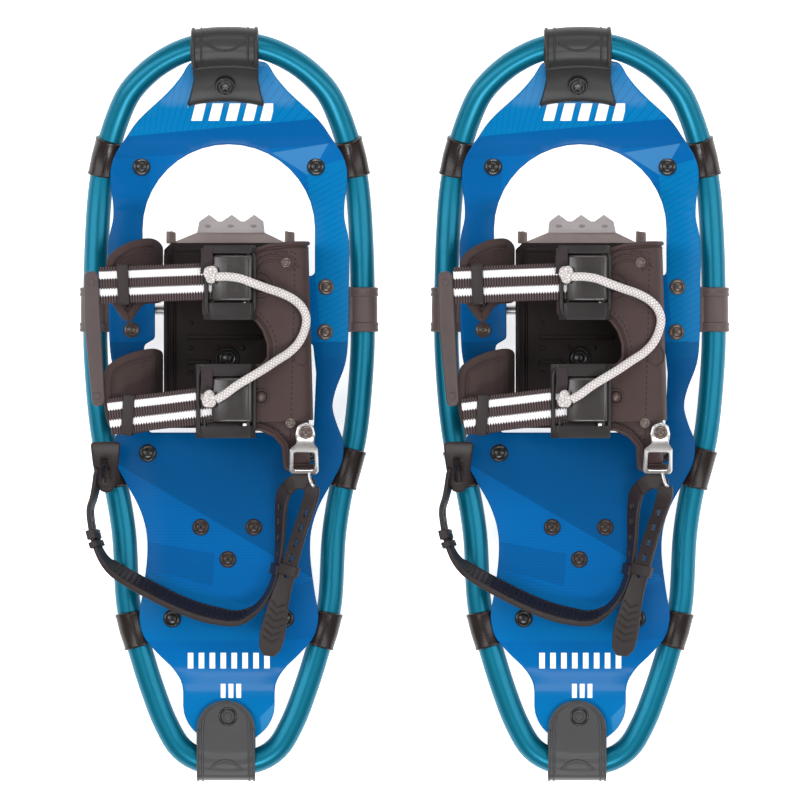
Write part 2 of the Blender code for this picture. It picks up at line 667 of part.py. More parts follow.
def make_lever(name):
    """A cam lever: a thick curved cover with a barrel round its pin."""
    x_low, y = LEVER_LEFT, BUCKLES[name][3]
    centre = (LEVER_AXIS_X, TUBE_LEVEL + LEVER_AXIS_HEIGHT)
    barrel = circle(BARREL_OUTER, 10, centre, math.pi / 10)
    bore = circle(PIN_RADIUS + 0.5, 8, centre, math.pi / 8)
    low, high = TUBE_LEVEL + LEVER_BOTTOM, TUBE_LEVEL + LEVER_TOP
    cover = [(x_low, low), (LEVER_AXIS_X - 0.5, low), (LEVER_AXIS_X - 0.5, high + 0.4), (x_low + 14, high)]
    cover += [(x_low + 3, high - 0.6), (x_low, high - 2.4)]
    return combine(panel_y(barrel, *y), [panel_y(cover, *y)], [panel_y(bore, y[0] - 1, y[1] + 1)])


def make_webbing(stations):
    return ribbon([(x, y, z, 0, WEBBING_WIDTH, WEBBING_THICKNESS) for x, y, z in stations], 16)


def make_pull_handle():
    """The bar that joins the two webbing tails."""
    return plate(HANDLE, TUBE_LEVEL + HANDLE_BOTTOM, TUBE_LEVEL + HANDLE_TOP)


def make_heel_strap():
    """One rubber strap: round the heel, through the shackle and back as a tail with a grip at its end."""
    return combine(ribbon(STRAP_ROUND_HEEL, 32), [ribbon(STRAP_TURN, 7), ribbon(STRAP_TAIL, 16)])


def shackle_level(_, y):
    """The steel link slopes down from its rivet to the strap."""
    return TUBE_LEVEL + 61.8 - 24 * smoothstep(-20, -50, y)


def make_heel_shackle():
    """The steel link: an eye under its rivet and an open frame for the strap."""
    breaks = [("y", y) for y in (-22, -27, -35, -41)]
    holes = [SHACKLE_WINDOW, circle(2.4, 8, SHACKLE_EYE)]
    return plate(SHACKLE, 0, SHACKLE_THICKNESS, holes, breaks, shackle_level)


def loop_level(_, y):
    """The tongue slopes down from the flap to the strap."""
    return TUBE_LEVEL + 33 - 19 * smoothstep(-22, -66, y)


def make_heel_loop():
    """The slotted tongue on the left that the heel strap hangs from."""
    breaks = [("y", y) for y in (-30, -38, -46, -52)]
    return plate(LOOP, 0, LOOP_THICKNESS, [LOOP_SLOT], breaks, loop_level)


# ---- the tree ---------------------------------------------------------------------------------------------

FINISHES = {
    "anodised_tube": ((0.02, 0.28, 0.36), 0.28, 1.0),
    "deck_sheet": ((0.0, 0.16, 0.52), 0.35, 0.0),
    "black_plastic": ((0.03, 0.03, 0.03), 0.5, 0.0),
    "grey_plastic": ((0.09, 0.09, 0.09), 0.5, 0.0),
    "wrap_plastic": ((0.03, 0.018, 0.015), 0.35, 0.0),
    "clip_plastic": ((0.16, 0.13, 0.12), 0.4, 0.0),
    "crampon_steel": ((0.4, 0.36, 0.34), 0.35, 1.0),
    "axle_steel": ((0.5, 0.5, 0.5), 0.3, 1.0),
    "binding_plastic": ((0.07, 0.058, 0.055), 0.55, 0.0),
    "flap_foam": ((0.07, 0.056, 0.05), 0.75, 0.0),
    "buckle_plastic": ((0.045, 0.038, 0.035), 0.45, 0.0),
    "webbing": ((0.06, 0.045, 0.04), 0.85, 0.0),
    "handle_plastic": ((0.12, 0.11, 0.1), 0.5, 0.0),
    "strap_rubber": ((0.05, 0.042, 0.038), 0.6, 0.0),
    "shackle_steel": ((0.6, 0.6, 0.6), 0.25, 1.0),
    "cord_white": ((0.75, 0.73, 0.7), 0.8, 0.0),
}


def make_material(name):
    colour, roughness, metallic = FINISHES[name]
    material = bpy.data.materials.new(name)
    material.use_nodes = True
    shader = material.node_tree.nodes["Principled BSDF"]
    shader.inputs["Base Color"].default_value = (*colour, 1)
    shader.inputs["Roughness"].default_value = roughness
    shader.inputs["Metallic"].default_value = metallic
    return material


def cord_curve():
    """The pull cord as a round curve with filled ends, in metres."""
    data = bpy.data.curves.new("pull_cord", "CURVE")
    data.dimensions = "3D"
    data.bevel_depth = CORD_RADIUS * MM
    data.bevel_resolution = 2
    data.use_fill_caps = True
    points = spaced(catmull(CORD_ROUTE, 8), 15)
    spline = data.splines.new("POLY")
    spline.points.add(len(points) - 1)
    for slot, point in zip(spline.points, points):
        slot.co = (point.x * MM, point.y * MM, (point.z + TUBE_LEVEL) * MM, 1)
    return data


def make_shapes():
    """Every sub-part's shape in the shoe's frame, keyed by node, with its joint and its finish."""
    shapes = {
        "frame_tube": (make_frame_tube(), None, "anodised_tube"),
        "deck": (make_deck(), None, "deck_sheet"),
        "toe_cap": (make_toe_cap(), None, "black_plastic"),
        "tail_cap": (make_tail_cap(), None, "grey_plastic"),
        "pivot_axle": (make_pivot_axle(), None, "axle_steel"),
        "heel_crampon": (make_heel_crampon(), None, "crampon_steel"),
        "base_plate": (make_base_plate(), "binding", "binding_plastic"),
        "toe_crampon": (make_toe_crampon(), "binding", "crampon_steel"),
        "buckle_wing": (make_buckle_wing(), "binding", "binding_plastic"),
        "front_flap": (make_flap(FRONT_FLAP), "binding", "flap_foam"),
        "rear_flap": (make_flap(REAR_FLAP), "binding", "flap_foam"),
        "front_buckle": (make_buckle("front"), "binding", "buckle_plastic"),
        "rear_buckle": (make_buckle("rear"), "binding", "buckle_plastic"),
        "pull_cord": (cord_curve(), "binding", "cord_white"),
        "front_lever": (make_lever("front"), "levers", "buckle_plastic"),
        "rear_lever": (make_lever("rear"), "levers", "buckle_plastic"),
        "front_webbing": (make_webbing(FRONT_TAIL), "strap_pull", "webbing"),
        "rear_webbing": (make_webbing(REAR_TAIL), "strap_pull", "webbing"),
        "pull_handle": (make_pull_handle(), "strap_pull", "handle_plastic"),
        "heel_strap": (make_heel_strap(), "heel_strap", "strap_rubber"),
        "heel_shackle": (make_heel_shackle(), "heel_strap", "shackle_steel"),
        "heel_loop": (make_heel_loop(), "heel_strap", "strap_rubber"),
    }
    for name in WRAPS:
        right = make_wrap(name)
        shapes[name + "_l"] = (flipped(right), None, "wrap_plastic")
        shapes[name + "_r"] = (right, None, "wrap_plastic")
    right = make_pivot_wrap()
    shapes["pivot_wrap_l"] = (flipped(right), None, "clip_plastic")
    shapes["pivot_wrap_r"] = (right, None, "clip_plastic")
    return shapes


# Joint empties: name, parent empty and position in the shoe's frame.
JOINTS = {
    "binding": (None, (0, PIVOT_Y, TUBE_LEVEL + PIVOT_HEIGHT)),
    "levers": ("binding", (LEVER_AXIS_X, 40, TUBE_LEVEL + LEVER_AXIS_HEIGHT)),
    "strap_pull": ("binding", (-85, 40, TUBE_LEVEL + 50)),
    "heel_strap": ("binding", (HEEL_ANCHOR[0], HEEL_ANCHOR[1], TUBE_LEVEL + HEEL_ANCHOR[2])),
}


def add_empty(name, parent, location):
    empty = bpy.data.objects.new(name, None)
    empty.parent = parent
    empty.location = location
    bpy.context.scene.collection.objects.link(empty)
    return empty


def build_shoe(side, centre_x, shapes, materials):
    """Places one shoe: its empties, then one object for each sub-part, with its origin on its joint."""
    root = add_empty(side + "_shoe", None, (centre_x * MM, 0, 0))
    empties = {None: (root, Vector())}
    for name, (parent, position) in JOINTS.items():
        holder, origin = empties[parent]
        place = Vector(position) * MM
        empties[name] = (add_empty(f"{side}_{name}_joint", holder, place - origin), place)
    for name, (data, joint, finish) in shapes.items():
        holder, origin = empties[joint]
        piece = bpy.data.objects.new(f"{side}_{name}", data)
        piece.parent = holder
        piece.location = -origin
        if not data.materials:
            data.materials.append(materials[finish])
        bpy.context.scene.collection.objects.link(piece)


def main():
    for thing in list(bpy.data.objects):
        bpy.data.objects.remove(thing)
    materials = {name: make_material(name) for name in FINISHES}
    shapes = make_shapes()
    for data, _, _ in shapes.values():
        if isinstance(data, bpy.types.Mesh):
            data.transform(Matrix.Scale(MM, 4))
            data.materials.clear()
            data.shade_smooth()
            data.set_sharp_from_angle(angle=math.radians(35))
    build_shoe("left", -PITCH / 2, shapes, materials)
    build_shoe("right", PITCH / 2, shapes, materials)


main()
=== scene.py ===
"""Looks of a pair of recreational snowshoes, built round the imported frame.

Shapes are worked out in millimetres in one shoe's own frame: +Y to the toe, +Z up, and heights
counted from the centre plane of the frame tube. Each piece is then made for each shoe, in metres.
"""

from __future__ import annotations

import json
import logging
import math
from dataclasses import dataclass
from enum import Enum
from typing import Callable, Iterable, Sequence, Union

import bmesh
import bpy
from mathutils import Matrix, Vector

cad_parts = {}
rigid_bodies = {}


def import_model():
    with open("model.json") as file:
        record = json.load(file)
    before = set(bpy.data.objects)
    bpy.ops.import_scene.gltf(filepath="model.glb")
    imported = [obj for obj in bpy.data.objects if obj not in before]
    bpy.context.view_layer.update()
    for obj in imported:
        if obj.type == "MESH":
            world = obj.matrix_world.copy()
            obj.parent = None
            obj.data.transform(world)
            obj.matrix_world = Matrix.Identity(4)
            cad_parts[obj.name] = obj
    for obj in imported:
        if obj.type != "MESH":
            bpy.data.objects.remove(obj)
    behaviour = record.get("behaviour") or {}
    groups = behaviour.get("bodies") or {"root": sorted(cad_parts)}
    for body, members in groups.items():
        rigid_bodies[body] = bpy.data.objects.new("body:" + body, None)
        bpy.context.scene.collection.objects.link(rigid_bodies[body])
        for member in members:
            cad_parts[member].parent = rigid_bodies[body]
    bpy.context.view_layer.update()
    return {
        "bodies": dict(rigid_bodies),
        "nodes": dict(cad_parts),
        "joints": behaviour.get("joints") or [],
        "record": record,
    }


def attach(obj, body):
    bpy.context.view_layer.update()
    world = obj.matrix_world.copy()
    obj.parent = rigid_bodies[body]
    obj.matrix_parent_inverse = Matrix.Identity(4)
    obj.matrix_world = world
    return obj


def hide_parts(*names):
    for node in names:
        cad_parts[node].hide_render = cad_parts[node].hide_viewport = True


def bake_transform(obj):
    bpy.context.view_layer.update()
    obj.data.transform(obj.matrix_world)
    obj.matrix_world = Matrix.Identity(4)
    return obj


LOG = logging.getLogger("snowshoes")
MM = 0.001
CENTRE_X = 112.7
TUBE_LEVEL = 26.0
SIDES = (("left", -CENTRE_X), ("right", CENTRE_X))
UP = Vector((0, 0, 1))
# Sides of a stud's round parts and of its ring's wire, and the turns of a rivet's cross in degrees.
ROUND_SIDES, WIRE_SIDES = 28, 8
CROSS_TURNS = (40, 130)
# Points nearer than this are merged, in millimetres.
MERGE = 1e-4
# Edges sharper than this stay crisp, in degrees.
CRISP_ANGLE = 38

Colour = tuple[float, float, float]
Points = Sequence[Sequence[float]]
Rim = Sequence[tuple[float, float]]
Places = Sequence[tuple[Vector, Vector]]


# ---- shader and geometry trees ----------------------------------------------------------------------------


class Signal:
    """One socket of a node tree. Sums written with it add Math nodes."""

    def __init__(self, graph: "Graph", socket: bpy.types.NodeSocket) -> None:
        """Wraps an output socket of a graph."""
        self.graph = graph
        self.socket = socket

    def __add__(self, other: "Number") -> "Signal":
        """self + other."""
        return self.graph.maths("ADD", self, other)

    def __sub__(self, other: "Number") -> "Signal":
        """self - other."""
        return self.graph.maths("SUBTRACT", self, other)

    def __rsub__(self, other: "Number") -> "Signal":
        """other - self."""
        return self.graph.maths("SUBTRACT", other, self)

    def __mul__(self, other: "Number") -> "Signal":
        """self * other."""
        return self.graph.maths("MULTIPLY", self, other)

    __radd__ = __add__
    __rmul__ = __mul__

    def over(self, edge: float, soft: float = 0.3) -> "Signal":
        """A mask that is 1 above an edge, 0 below it and blurred over a width."""
        return self.graph.maths("MULTIPLY_ADD", self, 1 / soft, 0.5 - edge / soft, clamp=True)

    def under(self, edge: float, soft: float = 0.3) -> "Signal":
        """A mask that is 1 below an edge, 0 above it and blurred over a width."""
        return self.graph.maths("MULTIPLY_ADD", self, -1 / soft, 0.5 + edge / soft, clamp=True)

    def between(self, low: float, high: float, soft: float = 0.3) -> "Signal":
        """A mask that is 1 between two edges."""
        return self.over(low, soft) * self.under(high, soft)

    def wave(self, period: float) -> "Signal":
        """A smooth wave from 0 to 1 that repeats each period."""
        return self.graph.maths("SINE", self * (math.tau / period)) * 0.5 + 0.5

    def lines(self, period: float, width: float, soft: float = 0.2) -> "Signal":
        """A mask of thin lines, one each period."""
        return self.graph.maths("PINGPONG", self, period / 2).under(width / 2, soft)


Number = Union[Signal, float]
Feed = Union[Signal, float, Sequence[float], bpy.types.ID]


class Graph:
    """A node tree that is filled by expressions."""

    def __init__(self, tree: bpy.types.NodeTree) -> None:
        """Starts on an existing tree."""
        self.tree = tree

    def feed(self, socket: bpy.types.NodeSocket, value: Feed) -> None:
        """Links a signal to a socket, or sets the socket's own value."""
        if isinstance(value, Signal):
            self.tree.links.new(value.socket, socket)
        elif socket.type == "RGBA" and len(value) == 3:
            socket.default_value = (*value, 1.0)
        else:
            socket.default_value = value

    def node(self, kind: str, settings: dict | None = None, sockets: dict | None = None) -> bpy.types.Node:
        """Adds a node.

        Args:
            kind: The node's type.
            settings: Properties of the node, set before its sockets.
            sockets: Values or signals by the socket's identifier or place.

        Returns:
            The new node.
        """
        node = self.tree.nodes.new(kind)
        for name, value in (settings or {}).items():
            setattr(node, name, value)
        by_identifier = {socket.identifier: socket for socket in node.inputs}
        for key, value in (sockets or {}).items():
            self.feed(node.inputs[key] if isinstance(key, int) else by_identifier[key], value)
        return node

    def out(self, node: bpy.types.Node, key: int | str = 0) -> Signal:
        """One output of a node as a signal."""
        return Signal(self, node.outputs[key])

    def maths(self, operation: str, *values: Number, clamp: bool = False) -> Signal:
        """Adds one Math node."""
        settings = {"operation": operation, "use_clamp": clamp}
        return self.out(self.node("ShaderNodeMath", settings, dict(enumerate(values))))


class Paint(Graph):
    """A material's tree with one Principled shader, and the patterns that finishes share."""

    def __init__(self, name: str, roughness: float, metallic: float, coat: float) -> None:
        """Makes the material and sets what is the same all over it."""
        self.material = bpy.data.materials.new(name)
        self.material.use_nodes = True
        super().__init__(self.material.node_tree)
        self.shader = self.tree.nodes["Principled BSDF"]
        self.shader.inputs["Roughness"].default_value = roughness
        self.shader.inputs["Metallic"].default_value = metallic
        self.shader.inputs["Coat Weight"].default_value = coat
        self.shader.inputs["Coat Roughness"].default_value = 0.22
        self.place = self.out(self.node("ShaderNodeTexCoord"), "Object")

    def local(self) -> tuple[Signal, Signal, Signal]:
        """The place on the shoe in millimetres, counted from its own middle and the tube's level."""
        parts = self.node("ShaderNodeSeparateXYZ", sockets={0: self.place})
        x, y, z = (self.out(parts, i) for i in range(3))
        side = self.maths("SIGN", x)
        return x * 1000 - side * CENTRE_X, y * 1000, z * 1000 - TUBE_LEVEL

    def flow(self) -> tuple[Signal, Signal]:
        """The millimetres round and along a swept piece, from its own map."""
        flow = self.out(self.node("ShaderNodeUVMap", {"uv_map": "flow"}))
        parts = self.node("ShaderNodeSeparateXYZ", sockets={0: flow})
        return self.out(parts, 0) * 1000, self.out(parts, 1) * 1000

    def noise(self, size: float, detail: float = 3.0, stretch: Sequence[float] = (1, 1, 1)) -> Signal:
        """Cloudy noise from 0 to 1.

        Args:
            size: The size of its patches in millimetres.
            detail: How many finer layers it holds.
            stretch: How many times finer it is along each axis.

        Returns:
            The noise.
        """
        vector = self.place
        if tuple(stretch) != (1, 1, 1):
            sockets = {0: self.place, "Scale": stretch}
            mapping = self.node("ShaderNodeMapping", {"vector_type": "POINT"}, sockets)
            vector = self.out(mapping)
        sockets = {"Vector": vector, "Scale": 1000 / size, "Detail": detail}
        return self.out(self.node("ShaderNodeTexNoise", {"noise_dimensions": "3D"}, sockets))

    def mix(self, a: Feed, b: Feed, share: Number) -> Signal:
        """Colour a turned into colour b by a share from 0 to 1."""
        sockets = {"Factor_Float": share, "A_Color": a, "B_Color": b}
        node = self.node("ShaderNodeMix", {"data_type": "RGBA"}, sockets)
        return Signal(self, next(o for o in node.outputs if o.identifier == "Result_Color"))

    def colour(self, value: Feed) -> None:
        """Sets the base colour."""
        self.feed(self.shader.inputs["Base Color"], value)

    def roughness(self, value: Feed) -> None:
        """Sets the roughness."""
        self.feed(self.shader.inputs["Roughness"], value)

    def bump(self, height: Signal, depth: float) -> None:
        """Raises the surface by a height signal, at a depth in millimetres."""
        sockets = {"Strength": 1.0, "Distance": depth * MM, "Height": height}
        node = self.node("ShaderNodeBump", sockets=sockets)
        self.feed(self.shader.inputs["Normal"], self.out(node))


class GeometryTree(Graph):
    """A Geometry Nodes tree with named inputs for its sizes and its material."""

    def __init__(self, name: str, sizes: dict[str, float]) -> None:
        """Makes the tree, its geometry and material sockets and one float input for each size."""
        super().__init__(bpy.data.node_groups.new(name, "GeometryNodeTree"))
        face = self.tree.interface
        face.new_socket(name="Geometry", in_out="INPUT", socket_type="NodeSocketGeometry")
        face.new_socket(name="Geometry", in_out="OUTPUT", socket_type="NodeSocketGeometry")
        face.new_socket(name="Finish", in_out="INPUT", socket_type="NodeSocketMaterial")
        for size, value in sizes.items():
            face.new_socket(name=size, in_out="INPUT", socket_type="NodeSocketFloat").default_value = value
        self.entry = self.tree.nodes.new("NodeGroupInput")
        self.exit = self.tree.nodes.new("NodeGroupOutput")

    def size(self, name: str) -> Signal:
        """One of the tree's named inputs."""
        return self.out(self.entry, name)

    def vector(self, x: Number, y: Number, z: Number) -> Signal:
        """Three values as one vector."""
        return self.out(self.node("ShaderNodeCombineXYZ", sockets={0: x, 1: y, 2: z}))

    def facing(self) -> Signal:
        """The direction that a point's copy stands up in."""
        node = self.node("GeometryNodeInputNamedAttribute", {"data_type": "FLOAT_VECTOR"}, {"Name": "facing"})
        return self.out(node)

    def aligned(
        self, axis: str, vector: Signal, rotation: Signal | None = None, pivot: str = "AUTO"
    ) -> Signal:
        """A rotation that turns an axis to a vector."""
        sockets = {"Vector": vector}
        if rotation is not None:
            sockets["Rotation"] = rotation
        settings = {"axis": axis, "pivot_axis": pivot}
        return self.out(self.node("FunctionNodeAlignRotationToVector", settings, sockets))

    def placed(
        self, shape: Signal, shift: Signal, scale: Feed = (1, 1, 1), turn: Sequence[float] = (0, 0, 0)
    ) -> Signal:
        """A shape that is scaled, turned and moved."""
        sockets = {"Geometry": shape, "Translation": shift, "Rotation": turn, "Scale": scale}
        return self.out(self.node("GeometryNodeTransform", sockets=sockets))

    def finish(self, points: Signal, shape: Signal, rotation: Signal) -> None:
        """Copies a shape to the points, makes the copies real and gives them the material."""
        sockets = {"Points": points, "Instance": shape, "Rotation": rotation}
        copies = self.node("GeometryNodeInstanceOnPoints", sockets=sockets)
        real = self.node("GeometryNodeRealizeInstances", sockets={0: self.out(copies)})
        sockets = {"Geometry": self.out(real), "Material": self.out(self.entry, "Finish")}
        dressed = self.node("GeometryNodeSetMaterial", sockets=sockets)
        self.feed(self.exit.inputs[0], self.out(dressed))

    def bake(
        self, points: bpy.types.Mesh, finish: bpy.types.Material, sizes: dict[str, float]
    ) -> bpy.types.Mesh:
        """Runs the tree on a mesh of points.

        Args:
            points: The mesh whose points or edges the tree reads.
            finish: The material of the copies.
            sizes: Values of the tree's named inputs.

        Returns:
            The result as a plain mesh.
        """
        holder = bpy.data.objects.new("points", points)
        bpy.context.scene.collection.objects.link(holder)
        modifier = holder.modifiers.new("copies", "NODES")
        modifier.node_group = self.tree
        inputs = (item for item in self.tree.interface.items_tree if item.in_out == "INPUT")
        names = {item.name: item.identifier for item in inputs}
        modifier[names["Finish"]] = finish
        for name, value in sizes.items():
            modifier[names[name]] = float(value)
        graph = bpy.context.evaluated_depsgraph_get()
        mesh = bpy.data.meshes.new_from_object(holder.evaluated_get(graph))
        holder.modifiers.remove(modifier)
        bpy.data.objects.remove(holder)
        return mesh


class StudKind(Enum):
    """The heads that studs come in."""

    RIVET = "rivet"
    BUTTON = "button"
    DOT = "dot"


class StudTree(GeometryTree):
    """Rivets, buttons or dots on a set of points."""

    def __init__(self, kind: StudKind) -> None:
        """Builds the head and copies it to each point."""
        super().__init__(f"{kind.value}_tree", {"Radius": 5.0, "Height": 1.6})
        radius, height = self.size("Radius"), self.size("Height")
        heads = {StudKind.RIVET: self.rivet, StudKind.BUTTON: self.button, StudKind.DOT: self.dot}
        shape = heads[kind](radius, height)
        self.finish(self.out(self.entry, "Geometry"), shape, self.aligned("Z", self.facing()))

    def cone(self, bottom: Number, top: Number, depth: Number, base: Number = 0.0) -> Signal:
        """A flat-topped cone on a base height."""
        sockets = {"Vertices": ROUND_SIDES, "Radius Top": top, "Radius Bottom": bottom, "Depth": depth}
        shape = self.out(self.node("GeometryNodeMeshCone", {"fill_type": "NGON"}, sockets), "Mesh")
        return self.placed(shape, self.vector(0.0, 0.0, base))

    def ring(self, radius: Number, wire: Number, level: Number) -> Signal:
        """A round ring."""
        curves = []
        for sides, reach in ((ROUND_SIDES, radius), (WIRE_SIDES, wire)):
            sockets = {"Resolution": sides, "Radius": reach}
            made = self.node("GeometryNodeCurvePrimitiveCircle", {"mode": "RADIUS"}, sockets)
            curves.append(self.out(made))
        sockets = {"Curve": curves[0], "Profile Curve": curves[1]}
        loop = self.out(self.node("GeometryNodeCurveToMesh", sockets=sockets))
        return self.placed(loop, self.vector(0.0, 0.0, level))

    def dome(self, radius: Number, rise: Number, level: Number) -> Signal:
        """A low dome."""
        sphere = self.node("GeometryNodeMeshUVSphere", sockets={"Segments": 20, "Rings": 10, "Radius": 1.0})
        return self.placed(self.out(sphere), self.vector(0.0, 0.0, level), self.vector(radius, radius, rise))

    def joined(self, shapes: Sequence[Signal]) -> Signal:
        """Several shapes as one."""
        join = self.tree.nodes.new("GeometryNodeJoinGeometry")
        for shape in shapes:
            self.tree.links.new(shape.socket, join.inputs[0])
        return self.out(join)

    def rivet(self, radius: Signal, height: Signal) -> Signal:
        """A flange, a raised ring and a sunk middle with a cross."""
        bars = [self.bar(radius, height, math.radians(turn)) for turn in CROSS_TURNS]
        flange = self.cone(radius, radius * 0.93, height * 0.5)
        lip = self.ring(radius * 0.74, radius * 0.13, height * 0.55)
        middle = self.dome(radius * 0.56, height * 0.42, height * 0.42)
        return self.joined([flange, lip, middle, *bars])

    def bar(self, radius: Signal, height: Signal, turn: float) -> Signal:
        """One bar of the cross on a rivet."""
        size = self.vector(radius * 0.72, radius * 0.12, height * 0.2)
        cube = self.out(self.node("GeometryNodeMeshCube", sockets={"Size": size}), "Mesh")
        return self.placed(cube, self.vector(0.0, 0.0, height * 0.8), turn=(0, 0, turn))

    def button(self, radius: Signal, height: Signal) -> Signal:
        """A round button in a ring."""
        lip = self.ring(radius * 0.9, radius * 0.14, height * 0.25)
        base = self.cone(radius * 0.72, radius * 0.64, height * 0.7)
        return self.joined([lip, base, self.dome(radius * 0.62, height * 0.35, height * 0.68)])

    def dot(self, radius: Signal, height: Signal) -> Signal:
        """A small dome."""
        return self.dome(radius, height, 0.0)


class RowShape(Enum):
    """What a row along a line is made of."""

    STITCH = "stitch"
    RIB = "rib"


class RowTree(GeometryTree):
    """Stitches or ribs at an even pitch along a line."""

    def __init__(self, shape: RowShape) -> None:
        """Resamples the line and copies the shape along it."""
        super().__init__(f"{shape.value}_tree", {"Pitch": 3.0, "Length": 2.0, "Width": 0.6, "Height": 0.3})
        mesh = {"Mesh": self.out(self.entry, "Geometry")}
        line = self.out(self.node("GeometryNodeMeshToCurve", sockets=mesh))
        sockets = {"Curve": line, "Length": self.size("Pitch")}
        points = self.out(self.node("GeometryNodeResampleCurve", {"mode": "LENGTH"}, sockets))
        length, width, height = self.size("Length"), self.size("Width"), self.size("Height")
        if shape is RowShape.STITCH:
            sockets = {"Segments": 8, "Rings": 5, "Radius": 0.5}
            body = self.out(self.node("GeometryNodeMeshUVSphere", sockets=sockets))
            size, turn = self.vector(length, width, height), (0, 0, 0)
        else:
            sockets = {"Vertices": 10, "Radius": 0.5, "Depth": 1.0}
            body = self.out(self.node("GeometryNodeMeshCylinder", {"fill_type": "NGON"}, sockets), "Mesh")
            size, turn = self.vector(length, height, width), (math.pi / 2, 0, 0)
        shaped = self.placed(body, self.vector(0.0, 0.0, 0.0), size, turn)
        along = self.aligned("X", self.out(self.node("GeometryNodeInputTangent")))
        self.finish(points, shaped, self.aligned("Z", self.facing(), along, "X"))


# ---- curves and meshes ------------------------------------------------------------------------------------


def clamp(value: float, low: float = 0.0, high: float = 1.0) -> float:
    """A value kept between two limits."""
    return min(max(value, low), high)


def smoothstep(edge: float, full: float, value: float) -> float:
    """0 at edge and beyond it, 1 at full, and smooth between them."""
    share = clamp((value - edge) / (full - edge))
    return share * share * (3 - 2 * share)


def interpolate(table: Points, value: float) -> float:
    """Straight-line reading of a sorted table of (position, result)."""
    for (a, low), (b, high) in zip(table, table[1:]):
        if value <= b:
            return low + (high - low) * max(0.0, value - a) / (b - a)
    return table[-1][1]


def blended(a: Vector, b: Vector, start: float, end: float, at: float) -> Vector:
    """The point between a, which lies at start, and b, which lies at end."""
    return a * ((end - at) / (end - start)) + b * ((at - start) / (end - start))


def curve(points: Points, per_span: int = 8, closed: bool = False) -> list[Vector]:
    """A centripetal Catmull-Rom curve.

    Args:
        points: Points of any dimension that it passes through.
        per_span: Steps between two of them.
        closed: Whether it returns to its start.

    Returns:
        The curve's points.
    """
    points = [Vector(p) for p in points]
    count = len(points)
    if not closed:
        points = [2 * points[0] - points[1], *points, 2 * points[-1] - points[-2]]
    result = []
    for i in range(count if closed else count - 1):
        p = [points[(i + k - 1) % count] for k in range(4)] if closed else points[i : i + 4]
        t = [0.0]
        for a, b in zip(p, p[1:]):
            t.append(t[-1] + math.sqrt((b - a).length))
        for step in range(per_span):
            at = t[1] + (t[2] - t[1]) * step / per_span
            a = [blended(p[k], p[k + 1], t[k], t[k + 1], at) for k in range(3)]
            b = [blended(a[k], a[k + 1], t[k], t[k + 2], at) for k in range(2)]
            result.append(blended(b[0], b[1], t[1], t[2], at))
    if not closed:
        result.append(points[-2].copy())
    return result


def lengths(line: Sequence[Vector]) -> list[float]:
    """The distance walked along a line at each of its points."""
    walked = [0.0]
    for a, b in zip(line, line[1:]):
        walked.append(walked[-1] + (b - a).length)
    return walked


def even(line: Sequence[Vector], count: int, closed: bool = False) -> list[Vector]:
    """The same line at evenly spaced points."""
    ring = [*line, line[0]] if closed else list(line)
    walked = lengths(ring)
    result, at = [], 0
    for i in range(count):
        target = walked[-1] * i / (count if closed else count - 1)
        while at < len(ring) - 2 and walked[at + 1] < target:
            at += 1
        result.append(ring[at].lerp(ring[at + 1], (target - walked[at]) / (walked[at + 1] - walked[at])))
    return result


def mirrored(half: Points) -> list[tuple[float, float]]:
    """A closed outline from its right half."""
    return [(p[0], p[1]) for p in half] + [(-p[0], p[1]) for p in reversed(half) if p[0] > 0]


def rounded(corners: Points, radius: float, steps: int = 4) -> list[Vector]:
    """A closed outline with its corners rounded, as far as its sides leave room."""
    corners = [Vector((c[0], c[1])) for c in corners]
    result = []
    for i, corner in enumerate(corners):
        before, after = corners[i - 1] - corner, corners[(i + 1) % len(corners)] - corner
        half = before.angle(after) / 2
        cut = min(radius / max(math.tan(half), 0.05), 0.49 * before.length, 0.49 * after.length)
        start, end = corner + before.normalized() * cut, corner + after.normalized() * cut
        for k in range(steps + 1):
            t = k / steps
            result.append(start * (1 - t) ** 2 + corner * 2 * t * (1 - t) + end * t * t)
    return result


def boxed(left: float, right: float, low: float, high: float) -> list[tuple[float, float]]:
    """The corners of an upright rectangle."""
    return [(left, low), (right, low), (right, high), (left, high)]


def circle(radius: float, sides: int, centre: Sequence[float] = (0, 0)) -> list[Vector]:
    """The corners of a regular polygon."""
    turns = (math.tau * i / sides for i in range(sides))
    return [Vector((centre[0] + radius * math.cos(a), centre[1] + radius * math.sin(a))) for a in turns]


def slot_outline(length: float, width: float, centre: Sequence[float], steps: int = 5) -> list[Vector]:
    """A slot with round ends, its length along the first axis."""
    reach, radius = (length - width) / 2, width / 2
    result = []
    for end in (1, -1):
        for k in range(steps + 1):
            a = -math.pi / 2 + math.pi * k / steps + (0 if end > 0 else math.pi)
            x = centre[0] + end * reach + radius * math.cos(a)
            result.append(Vector((x, centre[1] + radius * math.sin(a))))
    return result


def inset(loop: Sequence[Vector], distance: float) -> list[Vector]:
    """A closed outline moved inwards by a distance, or outwards by a negative one."""
    if not distance:
        return [Vector((p.x, p.y)) for p in loop]
    pairs = list(zip(loop, [*loop[1:], loop[0]]))
    turn = 1 if sum(a.x * b.y - b.x * a.y for a, b in pairs) > 0 else -1
    result = []
    for i, point in enumerate(loop):
        before, after = (point - loop[i - 1]).normalized(), (loop[(i + 1) % len(loop)] - point).normalized()
        n1, n2 = Vector((-before.y, before.x)), Vector((-after.y, after.x))
        miter = (n1 + n2) / max(1 + n1.dot(n2), 0.4)
        result.append(Vector((point.x, point.y)) + miter * distance * turn)
    return result


